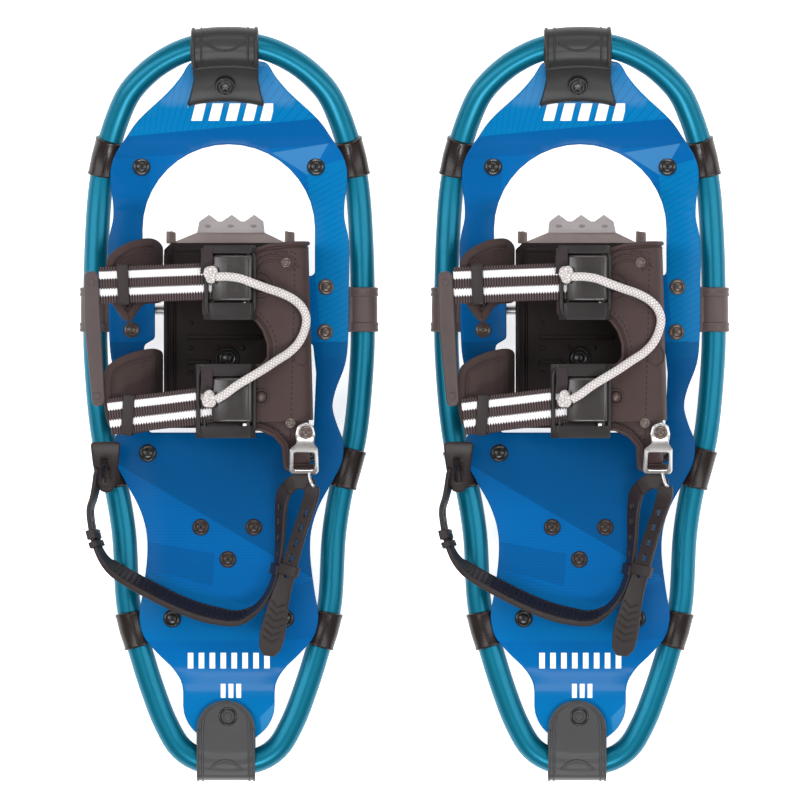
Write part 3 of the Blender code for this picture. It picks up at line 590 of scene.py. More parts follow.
def round_rim(thickness: float, radius: float, steps: int = 3) -> list[tuple[float, float]]:
    """The edge of a plate as (inset, height) pairs, round at its foot and at its top."""
    quarter = [math.pi / 2 * k / steps for k in range(steps + 1)]
    low = [(radius * (1 - math.sin(a)), radius * (1 - math.cos(a))) for a in quarter]
    high = [(d, thickness - h) for d, h in reversed(low)]
    return low + high


def as_mesh(bm: bmesh.types.BMesh) -> bpy.types.Mesh:
    """A mesh from a bmesh, merged and with its faces turned outwards."""
    bmesh.ops.remove_doubles(bm, verts=bm.verts[:], dist=MERGE)
    bmesh.ops.recalc_face_normals(bm, faces=bm.faces[:])
    mesh = bpy.data.meshes.new("shape")
    bm.to_mesh(mesh)
    bm.free()
    return mesh


def loft(rings: Sequence[Sequence[Vector]], closed: bool = False, mapped: bool = False) -> bpy.types.Mesh:
    """A skin through closed rings of points.

    Args:
        rings: The rings, all with the same number of points.
        closed: Whether the last ring joins the first; if not, both ends are capped.
        mapped: Whether it gets a map named flow, in metres round and along it.

    Returns:
        The mesh.
    """
    bm = bmesh.new()
    layer = bm.loops.layers.uv.new("flow") if mapped else None
    loops = [[bm.verts.new(p) for p in ring] for ring in rings]
    centres = [sum(ring, Vector()) / len(ring) for ring in rings]
    along = lengths(centres + [centres[0]] if closed else centres)
    size = len(rings[0])
    walked = lengths([*rings[0], rings[0][0]])
    for k in range(len(rings) if closed else len(rings) - 1):
        a, b = loops[k], loops[(k + 1) % len(rings)]
        for i in range(size):
            j = (i + 1) % size
            face = bm.faces.new((a[i], a[j], b[j], b[i]))
            if layer:
                ends = ((i, k), (i + 1, k), (i + 1, k + 1), (i, k + 1))
                for corner, (u, v) in zip(face.loops, ends):
                    corner[layer].uv = (walked[u] * MM, along[v] * MM)
    if not closed:
        bm.faces.new(loops[0])
        bm.faces.new(loops[-1])
    return as_mesh(bm)


def frames(path: Sequence[Vector], closed: bool = False) -> list[tuple[Vector, Vector, Vector]]:
    """The direction, side and top at each point of a path that never runs straight up."""
    found, last = [], len(path) - 1
    for i in range(len(path)):
        before = path[i - 1] if i or closed else path[0]
        after = path[(i + 1) % len(path)] if i < last or closed else path[last]
        tangent = (after - before).normalized()
        side = tangent.cross(UP).normalized()
        found.append((tangent, side, side.cross(tangent)))
    return found


def hoop(path: Sequence[Vector], radius: float, sides: int = 12) -> bpy.types.Mesh:
    """A round bar along a path that returns to its start, with its flow map.

    Args:
        path: The points of its centre line.
        radius: Half of its width.
        sides: Sides of its section.

    Returns:
        The mesh.
    """
    section, axes = circle(radius, sides), frames(path, True)
    rings = [[p + s * c.x + u * c.y for c in section] for p, (_, s, u) in zip(path, axes)]
    return loft(rings, True, True)


def panel(
    outline: Sequence[Vector],
    rim: Rim,
    holes: Iterable[Sequence[Vector]] = (),
    cuts: Iterable[tuple[int, float]] = (),
    shape: Callable[[Vector], Vector] | None = None,
) -> bpy.types.Mesh:
    """A plate with a shaped edge, bent into place.

    Args:
        outline: Its closed outline, flat.
        rim: (inset, height) pairs from its lower face's edge up to its upper face's.
        holes: Outlines of its holes, which get the same edge.
        cuts: (axis, value) lines that its faces are split along, so that it can bend there.
        shape: Moves each point (x, y, height) of the flat plate to its place.

    Returns:
        The mesh.
    """
    bm = bmesh.new()
    ends: tuple[list, list] = ([], [])
    for loop, sign in [(outline, 1), *((hole, -1) for hole in holes)]:
        rings = []
        for depth, height in rim:
            rings.append([bm.verts.new((p.x, p.y, height)) for p in inset(loop, sign * depth)])
        for a, b in zip(rings, rings[1:]):
            for i in range(len(a)):
                j = (i + 1) % len(a)
                bm.faces.new((a[i], a[j], b[j], b[i]))
        for edges, ring in zip(ends, (rings[0], rings[-1])):
            edges += [bm.edges.get((a, b)) or bm.edges.new((a, b)) for a, b in zip(ring, ring[1:] + ring[:1])]
    for edges in ends:
        bmesh.ops.triangle_fill(bm, use_beauty=True, use_dissolve=False, edges=edges)
    for axis, value in cuts:
        normal = Vector((axis == 0, axis == 1, 0))
        everything = bm.verts[:] + bm.edges[:] + bm.faces[:]
        bmesh.ops.bisect_plane(bm, geom=everything, dist=MERGE, plane_co=normal * value, plane_no=normal)
    bmesh.ops.triangulate(bm, faces=[f for f in bm.faces if len(f.verts) > 4])
    bmesh.ops.recalc_face_normals(bm, faces=bm.faces[:])
    if shape:
        for vert in bm.verts:
            vert.co = shape(vert.co.copy())
    return as_mesh(bm)


def steps(low: float, high: float, pitch: float) -> list[float]:
    """Values at an even pitch between two limits, without the limits."""
    count = max(1, round((high - low) / pitch))
    return [low + (high - low) * i / count for i in range(1, count)]


def upright_x(point: Vector) -> Vector:
    """A flat plate's (x, y, height) as a plate across X: its outline is (y, z)."""
    return Vector((point.z, point.x, point.y))


def upright_y(point: Vector) -> Vector:
    """A flat plate's (x, y, height) as a plate across Y: its outline is (x, z)."""
    return Vector((point.x, -point.z, point.y))


def moved(mesh: bpy.types.Mesh, matrix: Matrix) -> bpy.types.Mesh:
    """A mesh moved by a matrix, with its faces still outwards."""
    mesh.transform(matrix)
    if matrix.determinant() < 0:
        mesh.flip_normals()
    return mesh


def shifted(mesh: bpy.types.Mesh, x: float = 0.0, y: float = 0.0, z: float = 0.0) -> bpy.types.Mesh:
    """A mesh moved by three distances."""
    return moved(mesh, Matrix.Translation((x, y, z)))


def flipped(mesh: bpy.types.Mesh) -> bpy.types.Mesh:
    """The same shape on the other side of the shoe."""
    return moved(mesh.copy(), Matrix.Diagonal((-1, 1, 1, 1)))


def merged(meshes: Iterable[bpy.types.Mesh]) -> bpy.types.Mesh:
    """Several meshes as one."""
    bm = bmesh.new()
    for mesh in meshes:
        bm.from_mesh(mesh)
    mesh = bpy.data.meshes.new("shape")
    bm.to_mesh(mesh)
    bm.free()
    return mesh


def spots(places: Places, joined: bool = False) -> bpy.types.Mesh:
    """A mesh of bare points or of one line, with the direction that each point faces."""
    mesh = bpy.data.meshes.new("spots")
    edges = [(i, i + 1) for i in range(len(places) - 1)] if joined else []
    mesh.from_pydata([p for p, _ in places], edges, [])
    facing = mesh.attributes.new("facing", "FLOAT_VECTOR", "POINT")
    for item, (_, direction) in zip(facing.data, places):
        item.vector = direction
    return mesh


class Strip:
    """A band along a path, which maps (along, across, through) to its place."""

    def __init__(self, stations: Points, fine: int = 10) -> None:
        """Reads stations of (x, y, height, tilt in degrees, width, thickness)."""
        self.line = curve(stations, fine)
        self.path = [Vector(p[:3]) for p in self.line]
        self.walked = lengths(self.path)
        self.length = self.walked[-1]
        self.axes = []
        for point, (tangent, side, up) in zip(self.line, frames(self.path)):
            tilt = math.radians(point[3])
            across = side * math.cos(tilt) + up * math.sin(tilt)
            self.axes.append((tangent, across, up * math.cos(tilt) - side * math.sin(tilt)))

    def at(self, along: float) -> tuple[Vector, Vector, Vector, Vector, float, float]:
        """The place, direction, across, through, width and thickness at a distance along the path."""
        k = 0
        while k < len(self.walked) - 2 and self.walked[k + 1] < along:
            k += 1
        share = (along - self.walked[k]) / (self.walked[k + 1] - self.walked[k])
        near, far = self.axes[k], self.axes[k + 1]
        tangent, across, through = (a.lerp(b, clamp(share)).normalized() for a, b in zip(near, far))
        values = self.line[k].lerp(self.line[k + 1], clamp(share))
        return self.path[k].lerp(self.path[k + 1], share), tangent, across, through, values[4], values[5]

    def shape(self, point: Vector) -> Vector:
        """Moves (along, across, height) to its place; a height of 1 is the band's full thickness."""
        place, _, across, through, _, thickness = self.at(point.x)
        return place + across * point.y + through * (point.z - 0.5) * thickness

    def outline(self, pitch: float = 4.0, round_end: float = 2.0) -> list[Vector]:
        """The band's outline laid flat."""
        marks = [0.0, *steps(0.0, self.length, pitch), self.length]
        near = [Vector((s, -self.at(s)[4] / 2)) for s in marks]
        far = [Vector((s, self.at(s)[4] / 2)) for s in reversed(marks)]
        for i in (0, -1):
            for side in (near, far):
                side[i].y *= 1 - min(0.5, round_end / 10)
        return near + far

    def cuts(self, pitch: float = 2.0) -> list[tuple[int, float]]:
        """Lines across the band that let it bend."""
        return [(0, s) for s in steps(0.0, self.length, pitch)]


# ---- finishes ---------------------------------------------------------------------------------------------


class Slot(str, Enum):
    """The record's material slots."""

    TUBE = "anodised_tube"
    DECK = "deck_sheet"
    BLACK = "black_plastic"
    GREY = "grey_plastic"
    WRAP = "wrap_plastic"
    CLIP = "clip_plastic"
    CRAMPON = "crampon_steel"
    AXLE = "axle_steel"
    BINDING = "binding_plastic"
    FLAP = "flap_foam"
    BUCKLE = "buckle_plastic"
    WEBBING = "webbing"
    HANDLE = "handle_plastic"
    RUBBER = "strap_rubber"
    SHACKLE = "shackle_steel"
    CORD = "cord_white"


@dataclass(frozen=True)
class Finish:
    """A surface finish: what is the same all over it, and the moulded grain that most pieces have."""

    name: str
    slot: Slot
    colour: Colour
    rough: float
    metallic: float = 0.0
    coat: float = 0.0
    grain: float = 0.45
    depth: float = 0.05
    cloud: float = 0.18
    shine: float = 0.3

    def material(self) -> bpy.types.Material:
        """Makes the material."""
        paint = Paint(self.name, self.rough, self.metallic, self.coat)
        paint.shader.inputs["Specular IOR Level"].default_value = self.shine
        self.dress(paint)
        return paint.material

    def tone(self, factor: float) -> Colour:
        """The finish's colour, lighter or darker."""
        return tuple(min(1.0, c * factor) for c in self.colour)

    def dress(self, paint: Paint) -> None:
        """Adds cloudy colour, uneven gloss and a fine grain."""
        cloud = paint.noise(14.0, 4.0)
        fine = paint.noise(self.grain, 2.0)
        dark, light = self.tone(1 - self.cloud), self.tone(1 + self.cloud)
        paint.colour(paint.mix(dark, light, cloud * 0.7 + fine * 0.3))
        paint.roughness(cloud * 0.14 + (self.rough - 0.07))
        paint.bump(fine, self.depth)


@dataclass(frozen=True)
class Anodised(Finish):
    """Dyed and polished aluminium, drawn along its length."""

    def dress(self, paint: Paint) -> None:
        """Adds faint drawing lines and a slight change of colour."""
        cloud = paint.noise(60.0, 2.0)
        fine = paint.noise(0.35, 2.0)
        paint.colour(paint.mix(self.tone(0.9), self.tone(1.1), cloud))
        paint.roughness(fine * 0.05 + cloud * 0.05 + (self.rough - 0.05))
        paint.bump(fine, 0.004)


@dataclass(frozen=True)
class Steel(Finish):
    """Plated pressed steel with fine scratches."""

    def dress(self, paint: Paint) -> None:
        """Adds cloudy plating and scratches in two directions."""
        cloud = paint.noise(9.0, 5.0)
        lengthwise = paint.noise(0.7, 2.0, (1.0, 0.08, 1.0)) * 0.5
        scratches = lengthwise + paint.noise(0.9, 2.0, (0.1, 1.0, 1.0)) * 0.5
        paint.colour(paint.mix(self.tone(0.78), self.tone(1.15), cloud * 0.6 + scratches * 0.4))
        paint.roughness(cloud * 0.2 + scratches * 0.1 + (self.rough - 0.15))
        paint.bump(scratches, 0.03)


@dataclass(frozen=True)
class Foam(Finish):
    """A soft moulded flap with a woven face."""

    def dress(self, paint: Paint) -> None:
        """Adds a fine weave and worn patches."""
        x, y, _ = paint.local()
        weave = x.wave(0.9) * y.wave(0.9)
        cloud = paint.noise(11.0, 4.0)
        paint.colour(paint.mix(self.tone(0.8), self.tone(1.2), cloud * 0.7 + weave * 0.3))
        paint.roughness(cloud * 0.15 + (self.rough - 0.05))
        paint.bump(weave * 0.6 + paint.noise(0.6) * 0.4, 0.1)


@dataclass(frozen=True)
class Webbing(Finish):
    """Ribbed webbing with two white stripes along it."""

    stripe: Colour = (0.86, 0.84, 0.86)
    width: float = 23.2
    pitch: float = 1.72
    stripes: tuple[tuple[float, float], ...] = ((0.24, 0.425), (0.705, 0.90))

    def dress(self, paint: Paint) -> None:
        """Adds the stripes, whose edges step with the ribs, and the threads, with painted shade in each rib's
        groove and a painted highlight on its crest.
        """
        around, along = paint.flow()
        across = paint.maths("PINGPONG", around, self.width + 0.7)
        rib = along.wave(self.pitch)
        edge = across + (rib - 0.5) * 0.9
        mask = sum((edge.between(a * self.width, b * self.width, 0.35) for a, b in self.stripes), 0.0)
        thread = across.wave(0.62) * 0.5 + paint.noise(0.35, 2.0) * 0.5
        # Painted shade and painted highlight: the webbing and its stripes darken in each rib's groove and
        # lighten on its crest.
        dark = paint.mix(self.tone(0.1), self.tone(1.95), rib * 0.8 + thread * 0.2)
        light = paint.mix(tuple(c * 0.7 for c in self.stripe), self.stripe, rib * 0.6 + thread * 0.4)
        paint.colour(paint.mix(dark, light, mask))
        paint.bump(rib * 0.6 + thread * 0.4, 0.14)


@dataclass(frozen=True)
class Braid(Finish):
    """Round braided cord."""

    strand: float = 3.1416
    lean: float = 1.35

    def dress(self, paint: Paint) -> None:
        """Adds two sets of strands that cross, with painted shade darkening the grooves between them."""
        around, along = paint.flow()
        turn = around + along * self.lean
        back = around - along * self.lean
        weave = turn.wave(self.strand) * back.wave(self.strand)
        fibre = paint.noise(0.3, 2.0)
        # Painted shade: the colour darkens in the grooves between the strands.
        paint.colour(paint.mix(self.tone(0.54), self.tone(1.14), weave * 1.4 + fibre * 0.25))
        paint.bump(weave + fibre * 0.25, 0.3)


@dataclass(frozen=True)
class PrintedSheet(Finish):
    """The deck: a blue sheet printed with angular facets, fine lines and plain white dashes."""

    light: Colour = (0.0, 0.148, 0.36)
    pale: Colour = (0.10, 0.30, 0.52)
    deep: Colour = (0.0, 0.05, 0.17)
    dusk: Colour = (0.0, 0.062, 0.19)
    white: Colour = (0.88, 0.9, 0.92)
    line: Colour = (0.0, 0.03, 0.11)
    fan_centre: tuple[float, float] = (-64.0, 70.0)
    fan_step: float = 1.8
    hatch_lean: float = 28.0
    # Each facet: its share of its colour, the colour's name and its corners.
    facets: tuple = (
        (0.85, "light", ((-90, 169), (90, 186), (90, 260), (-90, 260))),
        (0.35, "deep", ((-90, 169), (90, 186), (90, 168), (60, 166), (-60, 150), (-90, 158))),
        (0.35, "pale", ((28, 161), (64, 167), (52, 146))),
        (0.75, "light", ((50, 150), (84, 160), (84, 30), (60, 30))),
        (0.35, "dusk", ((-84, 163), (-50, 157), (-53, 60), (-84, 60))),
        (0.8, "dusk", ((-80, -34), (-55, -49), (28, -97), (84, -130), (84, 40), (-80, 40))),
        (0.4, "deep", ((-53, -88), (-9, -96), (-10.5, -117), (-53, -105))),
        (0.3, "light", ((-60, -101), (15, -130), (40, -138), (24, -152), (-60, -152))),
        (0.35, "deep", ((20, -125), (60, -110), (60, -150), (30, -152))),
        (0.55, "pale", ((20, -201), (38, -183), (42, -198), (22, -224))),
    )
    # Each row of dashes: its span along X, its span along Y, and the pitch, share and lean of a dash.
    dashes: tuple = (
        (-26.0, 28.5, 181.5, 192.5, 11.0, 0.62, 0.25),
        (-28.0, 28.0, -169.5, -159.5, 7.0, 0.5, 0.0),
        (-6.2, 8.8, -188.5, -179.5, 5.0, 0.6, 0.0),
    )

    def facet(self, x: Signal, y: Signal, corners: Points) -> Signal:
        """A mask over a convex polygon."""
        area = sum(a[0] * b[1] - b[0] * a[1] for a, b in zip(corners, [*corners[1:], corners[0]]))
        mask: Number = 1.0
        for a, b in zip(corners, [*corners[1:], corners[0]]):
            along = (Vector(b) - Vector(a)).normalized() * math.copysign(1, area)
            mask = (x * -along.y + y * along.x).over(a[1] * along.x - a[0] * along.y, 0.5) * mask
        return mask

    def dress(self, paint: Paint) -> None:
        """Adds the facets, the hatching, the dashes and a slight gloss change."""
        x, y, _ = paint.local()
        cloud = paint.noise(60.0, 2.0)
        colour = paint.mix(self.tone(0.85), self.tone(1.15), cloud)
        for share, name, corners in self.facets:
            colour = paint.mix(colour, getattr(self, name), self.facet(x, y, corners) * share)
        tail = (0 - y).over(185.0, 60.0)
        colour = paint.mix(colour, self.light, tail * 0.75)
        top = self.facet(x, y, self.facets[0][2])
        angle = paint.maths("ARCTAN2", x - self.fan_centre[0], y - self.fan_centre[1]) * math.degrees(1)
        fan = angle.lines(self.fan_step, 0.16, 0.12) * top
        lean = math.radians(self.hatch_lean)
        across = y * math.cos(lean) - x * math.sin(lean)
        hatch = across.lines(3.5, 0.35, 0.25) * x.over(48.0, 2.0) * y.between(36.0, 150.0, 3.0)
        fine = y.lines(1.94, 0.5, 0.4) * y.between(-128.0, 34.0, 20.0)
        lines = fan * 0.5 + hatch * 0.45 + fine * 0.4
        colour = paint.mix(colour, self.line, lines)
        for left, right, low, high, pitch, share, slant in self.dashes:
            shifted_x = x - y * slant - (left - low * slant)
            dash = paint.maths("PINGPONG", shifted_x, pitch / 2).over(pitch / 2 * (1 - share), 0.35)
            row = dash * x.between(left, right, 0.4) * y.between(low, high, 0.4)
            colour = paint.mix(colour, self.white, row)
        paint.colour(colour)
        paint.roughness(cloud * 0.08 + fine * 0.1 + (self.rough - 0.04))
        paint.bump(fine * 0.6 + paint.noise(1.2, 3.0) * 0.4, 0.03)


class Palette:
    """The finishes of the object, each made into a material once."""

    FINISHES = (
        Anodised("tube_teal", Slot.TUBE, (0.0, 0.125, 0.2), 0.37, 0.6, 0.08, shine=0.2),
        PrintedSheet("deck_print", Slot.DECK, (0.0, 0.097, 0.305), 0.24, shine=0.07),
        Finish("cap_black", Slot.BLACK, (0.021, 0.021, 0.021), 0.42),
        Finish("cap_grey", Slot.GREY, (0.046, 0.046, 0.048), 0.45, shine=0.25),
        Finish("wrap_brown", Slot.WRAP, (0.012, 0.007, 0.006), 0.26, grain=0.9, depth=0.06),
        Finish("clip_grey", Slot.CLIP, (0.088, 0.064, 0.062), 0.42, shine=0.2),
        Steel("crampon_plate", Slot.CRAMPON, (0.22, 0.183, 0.176), 0.38, 0.75, shine=0.5),
        Steel("axle_plate", Slot.AXLE, (0.5, 0.5, 0.5), 0.35, 1.0, shine=0.5),
        Finish(
            "binding_grey", Slot.BINDING, (0.049, 0.0305, 0.0292), 0.46, grain=0.6, depth=0.07, shine=0.15
        ),
        Finish("binding_dark", Slot.BINDING, (0.012, 0.0075, 0.0075), 0.45, shine=0.12),
        Foam("flap_foam", Slot.FLAP, (0.046, 0.0305, 0.0292), 0.8, shine=0.15),
        Finish("buckle_dark", Slot.BUCKLE, (0.012, 0.0095, 0.0095), 0.36),
        Finish("lever_dark", Slot.BUCKLE, (0.021, 0.0165, 0.0165), 0.25, coat=0.15, shine=0.5),
        Foam("tape_dark", Slot.WEBBING, (0.03, 0.022, 0.024), 0.85),
        Finish("stitch_dark", Slot.BINDING, (0.008, 0.006, 0.006), 0.7),
        Webbing("webbing", Slot.WEBBING, (0.045, 0.03, 0.031), 0.85),
        Finish("handle_grey", Slot.HANDLE, (0.07, 0.052, 0.051), 0.42, shine=0.25),
        Finish("rubber_dark", Slot.RUBBER, (0.019, 0.013, 0.0132), 0.42, grain=0.7, shine=0.25),
        Steel("shackle_bright", Slot.SHACKLE, (0.55, 0.53, 0.52), 0.3, 1.0),
        Braid("cord_white", Slot.CORD, (0.66, 0.615, 0.605), 0.8),
        Finish("rivet_black", Slot.BLACK, (0.008, 0.008, 0.008), 0.25, coat=0.4),
        Finish("rivet_bronze", Slot.AXLE, (0.105, 0.08, 0.07), 0.3, 0.5, shine=0.5),
        Finish("rivet_dark", Slot.AXLE, (0.03, 0.023, 0.021), 0.3, 0.3),
    )

    def __init__(self) -> None:
        """Makes the materials."""
        self.finishes = {finish.name: finish for finish in self.FINISHES}
        self.materials = {name: finish.material() for name, finish in self.finishes.items()}


# ---- the shoe's driving sizes -----------------------------------------------------------------------------

TUBE_RADIUS = 7.85
NOSE_START, NOSE_RATE = 120.0, 0.00245
# Half of the frame tube's centre line, from the toe to the tail.
FRAME_HALF = (
    (0, 230.6), (23.8, 227.4), (41.1, 219.7), (53.3, 210.7), (63.6, 199.3), (70.7, 184.7), (77.7, 163.1),
    (82.2, 140.7), (84.9, 105), (85.9, 60.4), (85.4, 28.3), (80.3, -23.1), (72.4, -53.3), (67.6, -82),
    (64.2, -131.7), (57.2, -157.2), (49.8, -181.1), (40.5, -205.2), (30.8, -221), (18, -228.7), (0, -229.9),
)
DECK_THICKNESS, DECK_HIGH, DECK_LOW = 2.5, 6.8, 1.6
# Half of the deck's edge, from the toe cap to the tail cap.
DECK_HALF = (
    (17, 219.5), (24.4, 218.1), (30.2, 209.7), (38.5, 200), (57.8, 181.9), (66.2, 170), (72.6, 160.5),
    (75.7, 151), (75.9, 141), (74.3, 129), (74.2, 119), (77.1, 104.6), (77.1, 75.8), (76.6, 42),
    (74.8, 26), (68.3, 8), (66.6, -2), (69.4, -13), (73.4, -24), (72.6, -37), (66.2, -50.1), (57.8, -65.5),
    (53, -80.9), (52.3, -97), (55.2, -121), (57.5, -136), (54.6, -149), (45.5, -160), (35.2, -170.4),
    (30, -180), (28.9, -198), (24.4, -207.5), (15, -216),
)
HOLE_CENTRE_Y, HOLE_HALF_WIDTH, HOLE_HALF_LENGTH = 112.4, 55.2, 54.0
HOLE_SIDE = ((55.2, 83), (47.3, 81), (47.3, 42), (54, 38), (56, 20), (54.5, -14), (50, -18.2))


def lift(y: float) -> float:
    """How far the nose bends up at y."""
    return NOSE_RATE * max(0.0, y - NOSE_START) ** 2


def deck_level(y: float) -> float:
    """Height of the deck's lower face."""
    share = smoothstep(-190, -165, y) * smoothstep(190, 172, y)
    return lift(y) + DECK_LOW + (DECK_HIGH - DECK_LOW) * share


def deck_top(y: float) -> float:
    """Height of the deck's upper face."""
    return deck_level(y) + DECK_THICKNESS


def tube_line(side: int = 0, low: float = -300.0, high: float = 300.0) -> list[Vector]:
    """The tube's centre line, or the part of it on one side between two values of y."""
    line = [Vector((p.x, p.y, lift(p.y))) for p in curve(mirrored(FRAME_HALF), 12, True)]
    if not side:
        return line
    return sorted((p for p in line if p.x * side > 0 and low <= p.y <= high), key=lambda p: p.y)


# ---- the bench --------------------------------------------------------------------------------------------


class Bench:
    """Turns each shape into its pieces on the left and on the right shoe."""

    def __init__(self, frame: dict, palette: Palette) -> None:
        """Keeps the loaded frame and the finishes."""
        self.nodes = frame["nodes"]
        self.palette = palette
        self.made: list[bpy.types.Object] = []
        self.stud_trees = {kind: StudTree(kind) for kind in StudKind}
        self.row_trees = {shape: RowTree(shape) for shape in RowShape}

    def place(
        self, side: str, centre_x: float, name: str, mesh: bpy.types.Mesh, finish: str
    ) -> bpy.types.Object:
        """One side's object, in metres, smooth with crisp edges, with its finish."""
        mesh = mesh.copy()
        mesh.name = f"{side}_{name}"
        mesh.transform(Matrix.Scale(MM, 4) @ Matrix.Translation((centre_x, 0, TUBE_LEVEL)))
        mesh.materials.clear()
        mesh.materials.append(self.palette.materials[finish])
        mesh.shade_smooth()
        mesh.set_sharp_from_angle(angle=math.radians(CRISP_ANGLE))
        piece = bpy.data.objects.new(mesh.name, mesh)
        bpy.context.scene.collection.objects.link(piece)
        self.made.append(piece)
        return piece

    def add(
        self, name: str, mesh: bpy.types.Mesh, body: str, finish: str, replaces: Sequence[str] = ()
    ) -> list[bpy.types.Object]:
        """Makes a piece on both shoes.

        Args:
            name: The piece's name without its side.
            mesh: Its shape in the shoe's frame, in millimetres.
            body: The body that it rides on, without its side.
            finish: The name of its finish.
            replaces: The CAD nodes that it stands for, without their side.

        Returns:
            The two objects.
        """
        pieces = []
        for side, centre_x in SIDES:
            piece = self.place(side, centre_x, name, mesh, finish)
            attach(piece, f"{side}_{body}")
            if replaces:
                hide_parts(*(f"{side}_{node}" for node in replaces))
            pieces.append(piece)
        return pieces

    def studs(
        self,
        name: str,
        kind: StudKind,
        places: Places,
        body: str,
        finish: str,
        radius: float,
        height: float,
    ) -> None:
        """Adds studs at places, which are (point, direction) pairs."""
        sizes = {"Radius": radius, "Height": height}
        material = self.palette.materials[finish]
        self.add(name, self.stud_trees[kind].bake(spots(places), material, sizes), body, finish)

    def row(
        self, name: str, shape: RowShape, line: Places, body: str, finish: str, sizes: Sequence[float]
    ) -> None:
        """Adds stitches or ribs along a line of (point, direction) pairs.

        Args:
            name: The piece's name without its side.
            shape: What is repeated.
            line: The line's places.
            body: The body that it rides on, without its side.
            finish: The name of its finish.
            sizes: The pitch, length, width and height.
        """
        named = dict(zip(("Pitch", "Length", "Width", "Height"), sizes))
        material = self.palette.materials[finish]
        made = self.row_trees[shape].bake(spots(line, True), material, named)
        self.add(name, merged([made]), body, finish)

    def refined(self, node: str, width: float, angle: float = 25.0) -> bpy.types.Mesh:
        """A CAD node's shape, in the shoe's own frame, with its crisp edges slightly rounded."""
        mesh = self.nodes[f"left_{node}"].data.copy()
        mesh.transform(Matrix.Translation((CENTRE_X, 0, -TUBE_LEVEL)) @ Matrix.Scale(1 / MM, 4))
        bm = bmesh.new()
        bm.from_mesh(mesh)
        bmesh.ops.remove_doubles(bm, verts=bm.verts[:], dist=1e-3)
        bmesh.ops.dissolve_limit(bm, angle_limit=math.radians(1), verts=bm.verts[:], edges=bm.edges[:])
        sharp = [e for e in bm.edges if e.is_manifold and e.calc_face_angle(0.0) > math.radians(angle)]
        bmesh.ops.bevel(
            bm, geom=sharp, offset=width, offset_type="OFFSET", segments=2, profile=0.6, affect="EDGES",
            clamp_overlap=True,
        )
        bmesh.ops.triangulate(bm, faces=[f for f in bm.faces if len(f.verts) > 4])
        return as_mesh(bm)


def rod(points: Sequence[Vector], radius: float, flat: float = 1.0) -> bpy.types.Mesh:
    """A bar with round ends along points.

    Args:
        points: The points of its centre line.
        radius: Half of its width.
        flat: Its height as a share of its width.

    Returns:
        The mesh.
    """
    path = even(points, max(8, len(points)))
    first, last = (path[0] - path[1]).normalized(), (path[-1] - path[-2]).normalized()
    turns = [math.pi / 2 * k / 4 for k in range(4)]
    head = [(path[0] + first * radius * math.cos(a), math.sin(a)) for a in turns]
    tail = [(path[-1] + last * radius * math.cos(a), math.sin(a)) for a in reversed(turns)]
    stations = [*head, *((p, 1.0) for p in path), *tail]
    axes = frames([p for p, _ in stations])
    section = circle(radius, 10)
    rings = []
    for (point, scale), (_, side, up) in zip(stations, axes):
        scale = max(scale, 0.05)
        rings.append([point + (side * c.x + up * c.y * flat) * scale for c in section])
    return loft(rings)


def sleeve(path: Sequence[Vector], profile: Points, sides: int = 32) -> bpy.types.Mesh:
    """A sleeve round a path: profile is (distance from its start, radius)."""
    walked = lengths(path)
    axes = frames(path)
    rings = []
    for at, radius in profile:
        k = 0
        while k < len(walked) - 2 and walked[k + 1] < at:
            k += 1
        point = path[k].lerp(path[k + 1], (at - walked[k]) / (walked[k + 1] - walked[k]))
        _, side, up = axes[k]
        rings.append([point + side * c.x + up * c.y for c in circle(radius, sides)])
    return loft(rings)


def shell(grid: Sequence[Sequence[Vector]], thickness: float, rim: float = 0.6) -> bpy.types.Mesh:
    """A skin of a thickness under a grid of points, with its outer edge rounded."""
    rows, columns = len(grid), len(grid[0])
    normals = []
    for i in range(rows):
        line = []
        for j in range(columns):
            u = grid[min(i + 1, rows - 1)][j] - grid[max(i - 1, 0)][j]
            v = grid[i][min(j + 1, columns - 1)] - grid[i][max(j - 1, 0)]
            line.append(v.cross(u).normalized())
        normals.append(line)
    bm = bmesh.new()
    outer = [[bm.verts.new(p) for p in line] for line in grid]
    inner = [[bm.verts.new(p - n * thickness) for p, n in zip(*pair)] for pair in zip(grid, normals)]
    for i in range(rows - 1):
        for j in range(columns - 1):
            bm.faces.new((outer[i][j], outer[i + 1][j], outer[i + 1][j + 1], outer[i][j + 1]))
            bm.faces.new((inner[i][j], inner[i][j + 1], inner[i + 1][j + 1], inner[i + 1][j]))
    border = [(i, 0) for i in range(rows)] + [(rows - 1, j) for j in range(1, columns)]
    border += [(i, columns - 1) for i in range(rows - 2, -1, -1)]
    border += [(0, j) for j in range(columns - 2, 0, -1)]
    edges = []
    for (a, b), (c, d) in zip(border, border[1:] + border[:1]):
        bm.faces.new((outer[a][b], outer[c][d], inner[c][d], inner[a][b]))
        edges.append(bm.edges.get((outer[a][b], outer[c][d])))
    bmesh.ops.recalc_face_normals(bm, faces=bm.faces[:])
    bmesh.ops.bevel(
        bm, geom=edges, offset=rim, offset_type="OFFSET", segments=3, profile=0.5, affect="EDGES",
        clamp_overlap=True,
    )
    return as_mesh(bm)


# ---- frame and deck ---------------------------------------------------------------------------------------


@dataclass
class TubeFrame:
    """The bent tube."""

    bench: Bench
    stations: int = 264
    sides: int = 32

    def build(self) -> None:
        """Sweeps the tube round its closed centre line."""
        path = even(tube_line(), self.stations, True)
        self.bench.add("tube", hoop(path, TUBE_RADIUS, self.sides), "frame", "tube_teal", ["frame_tube"])


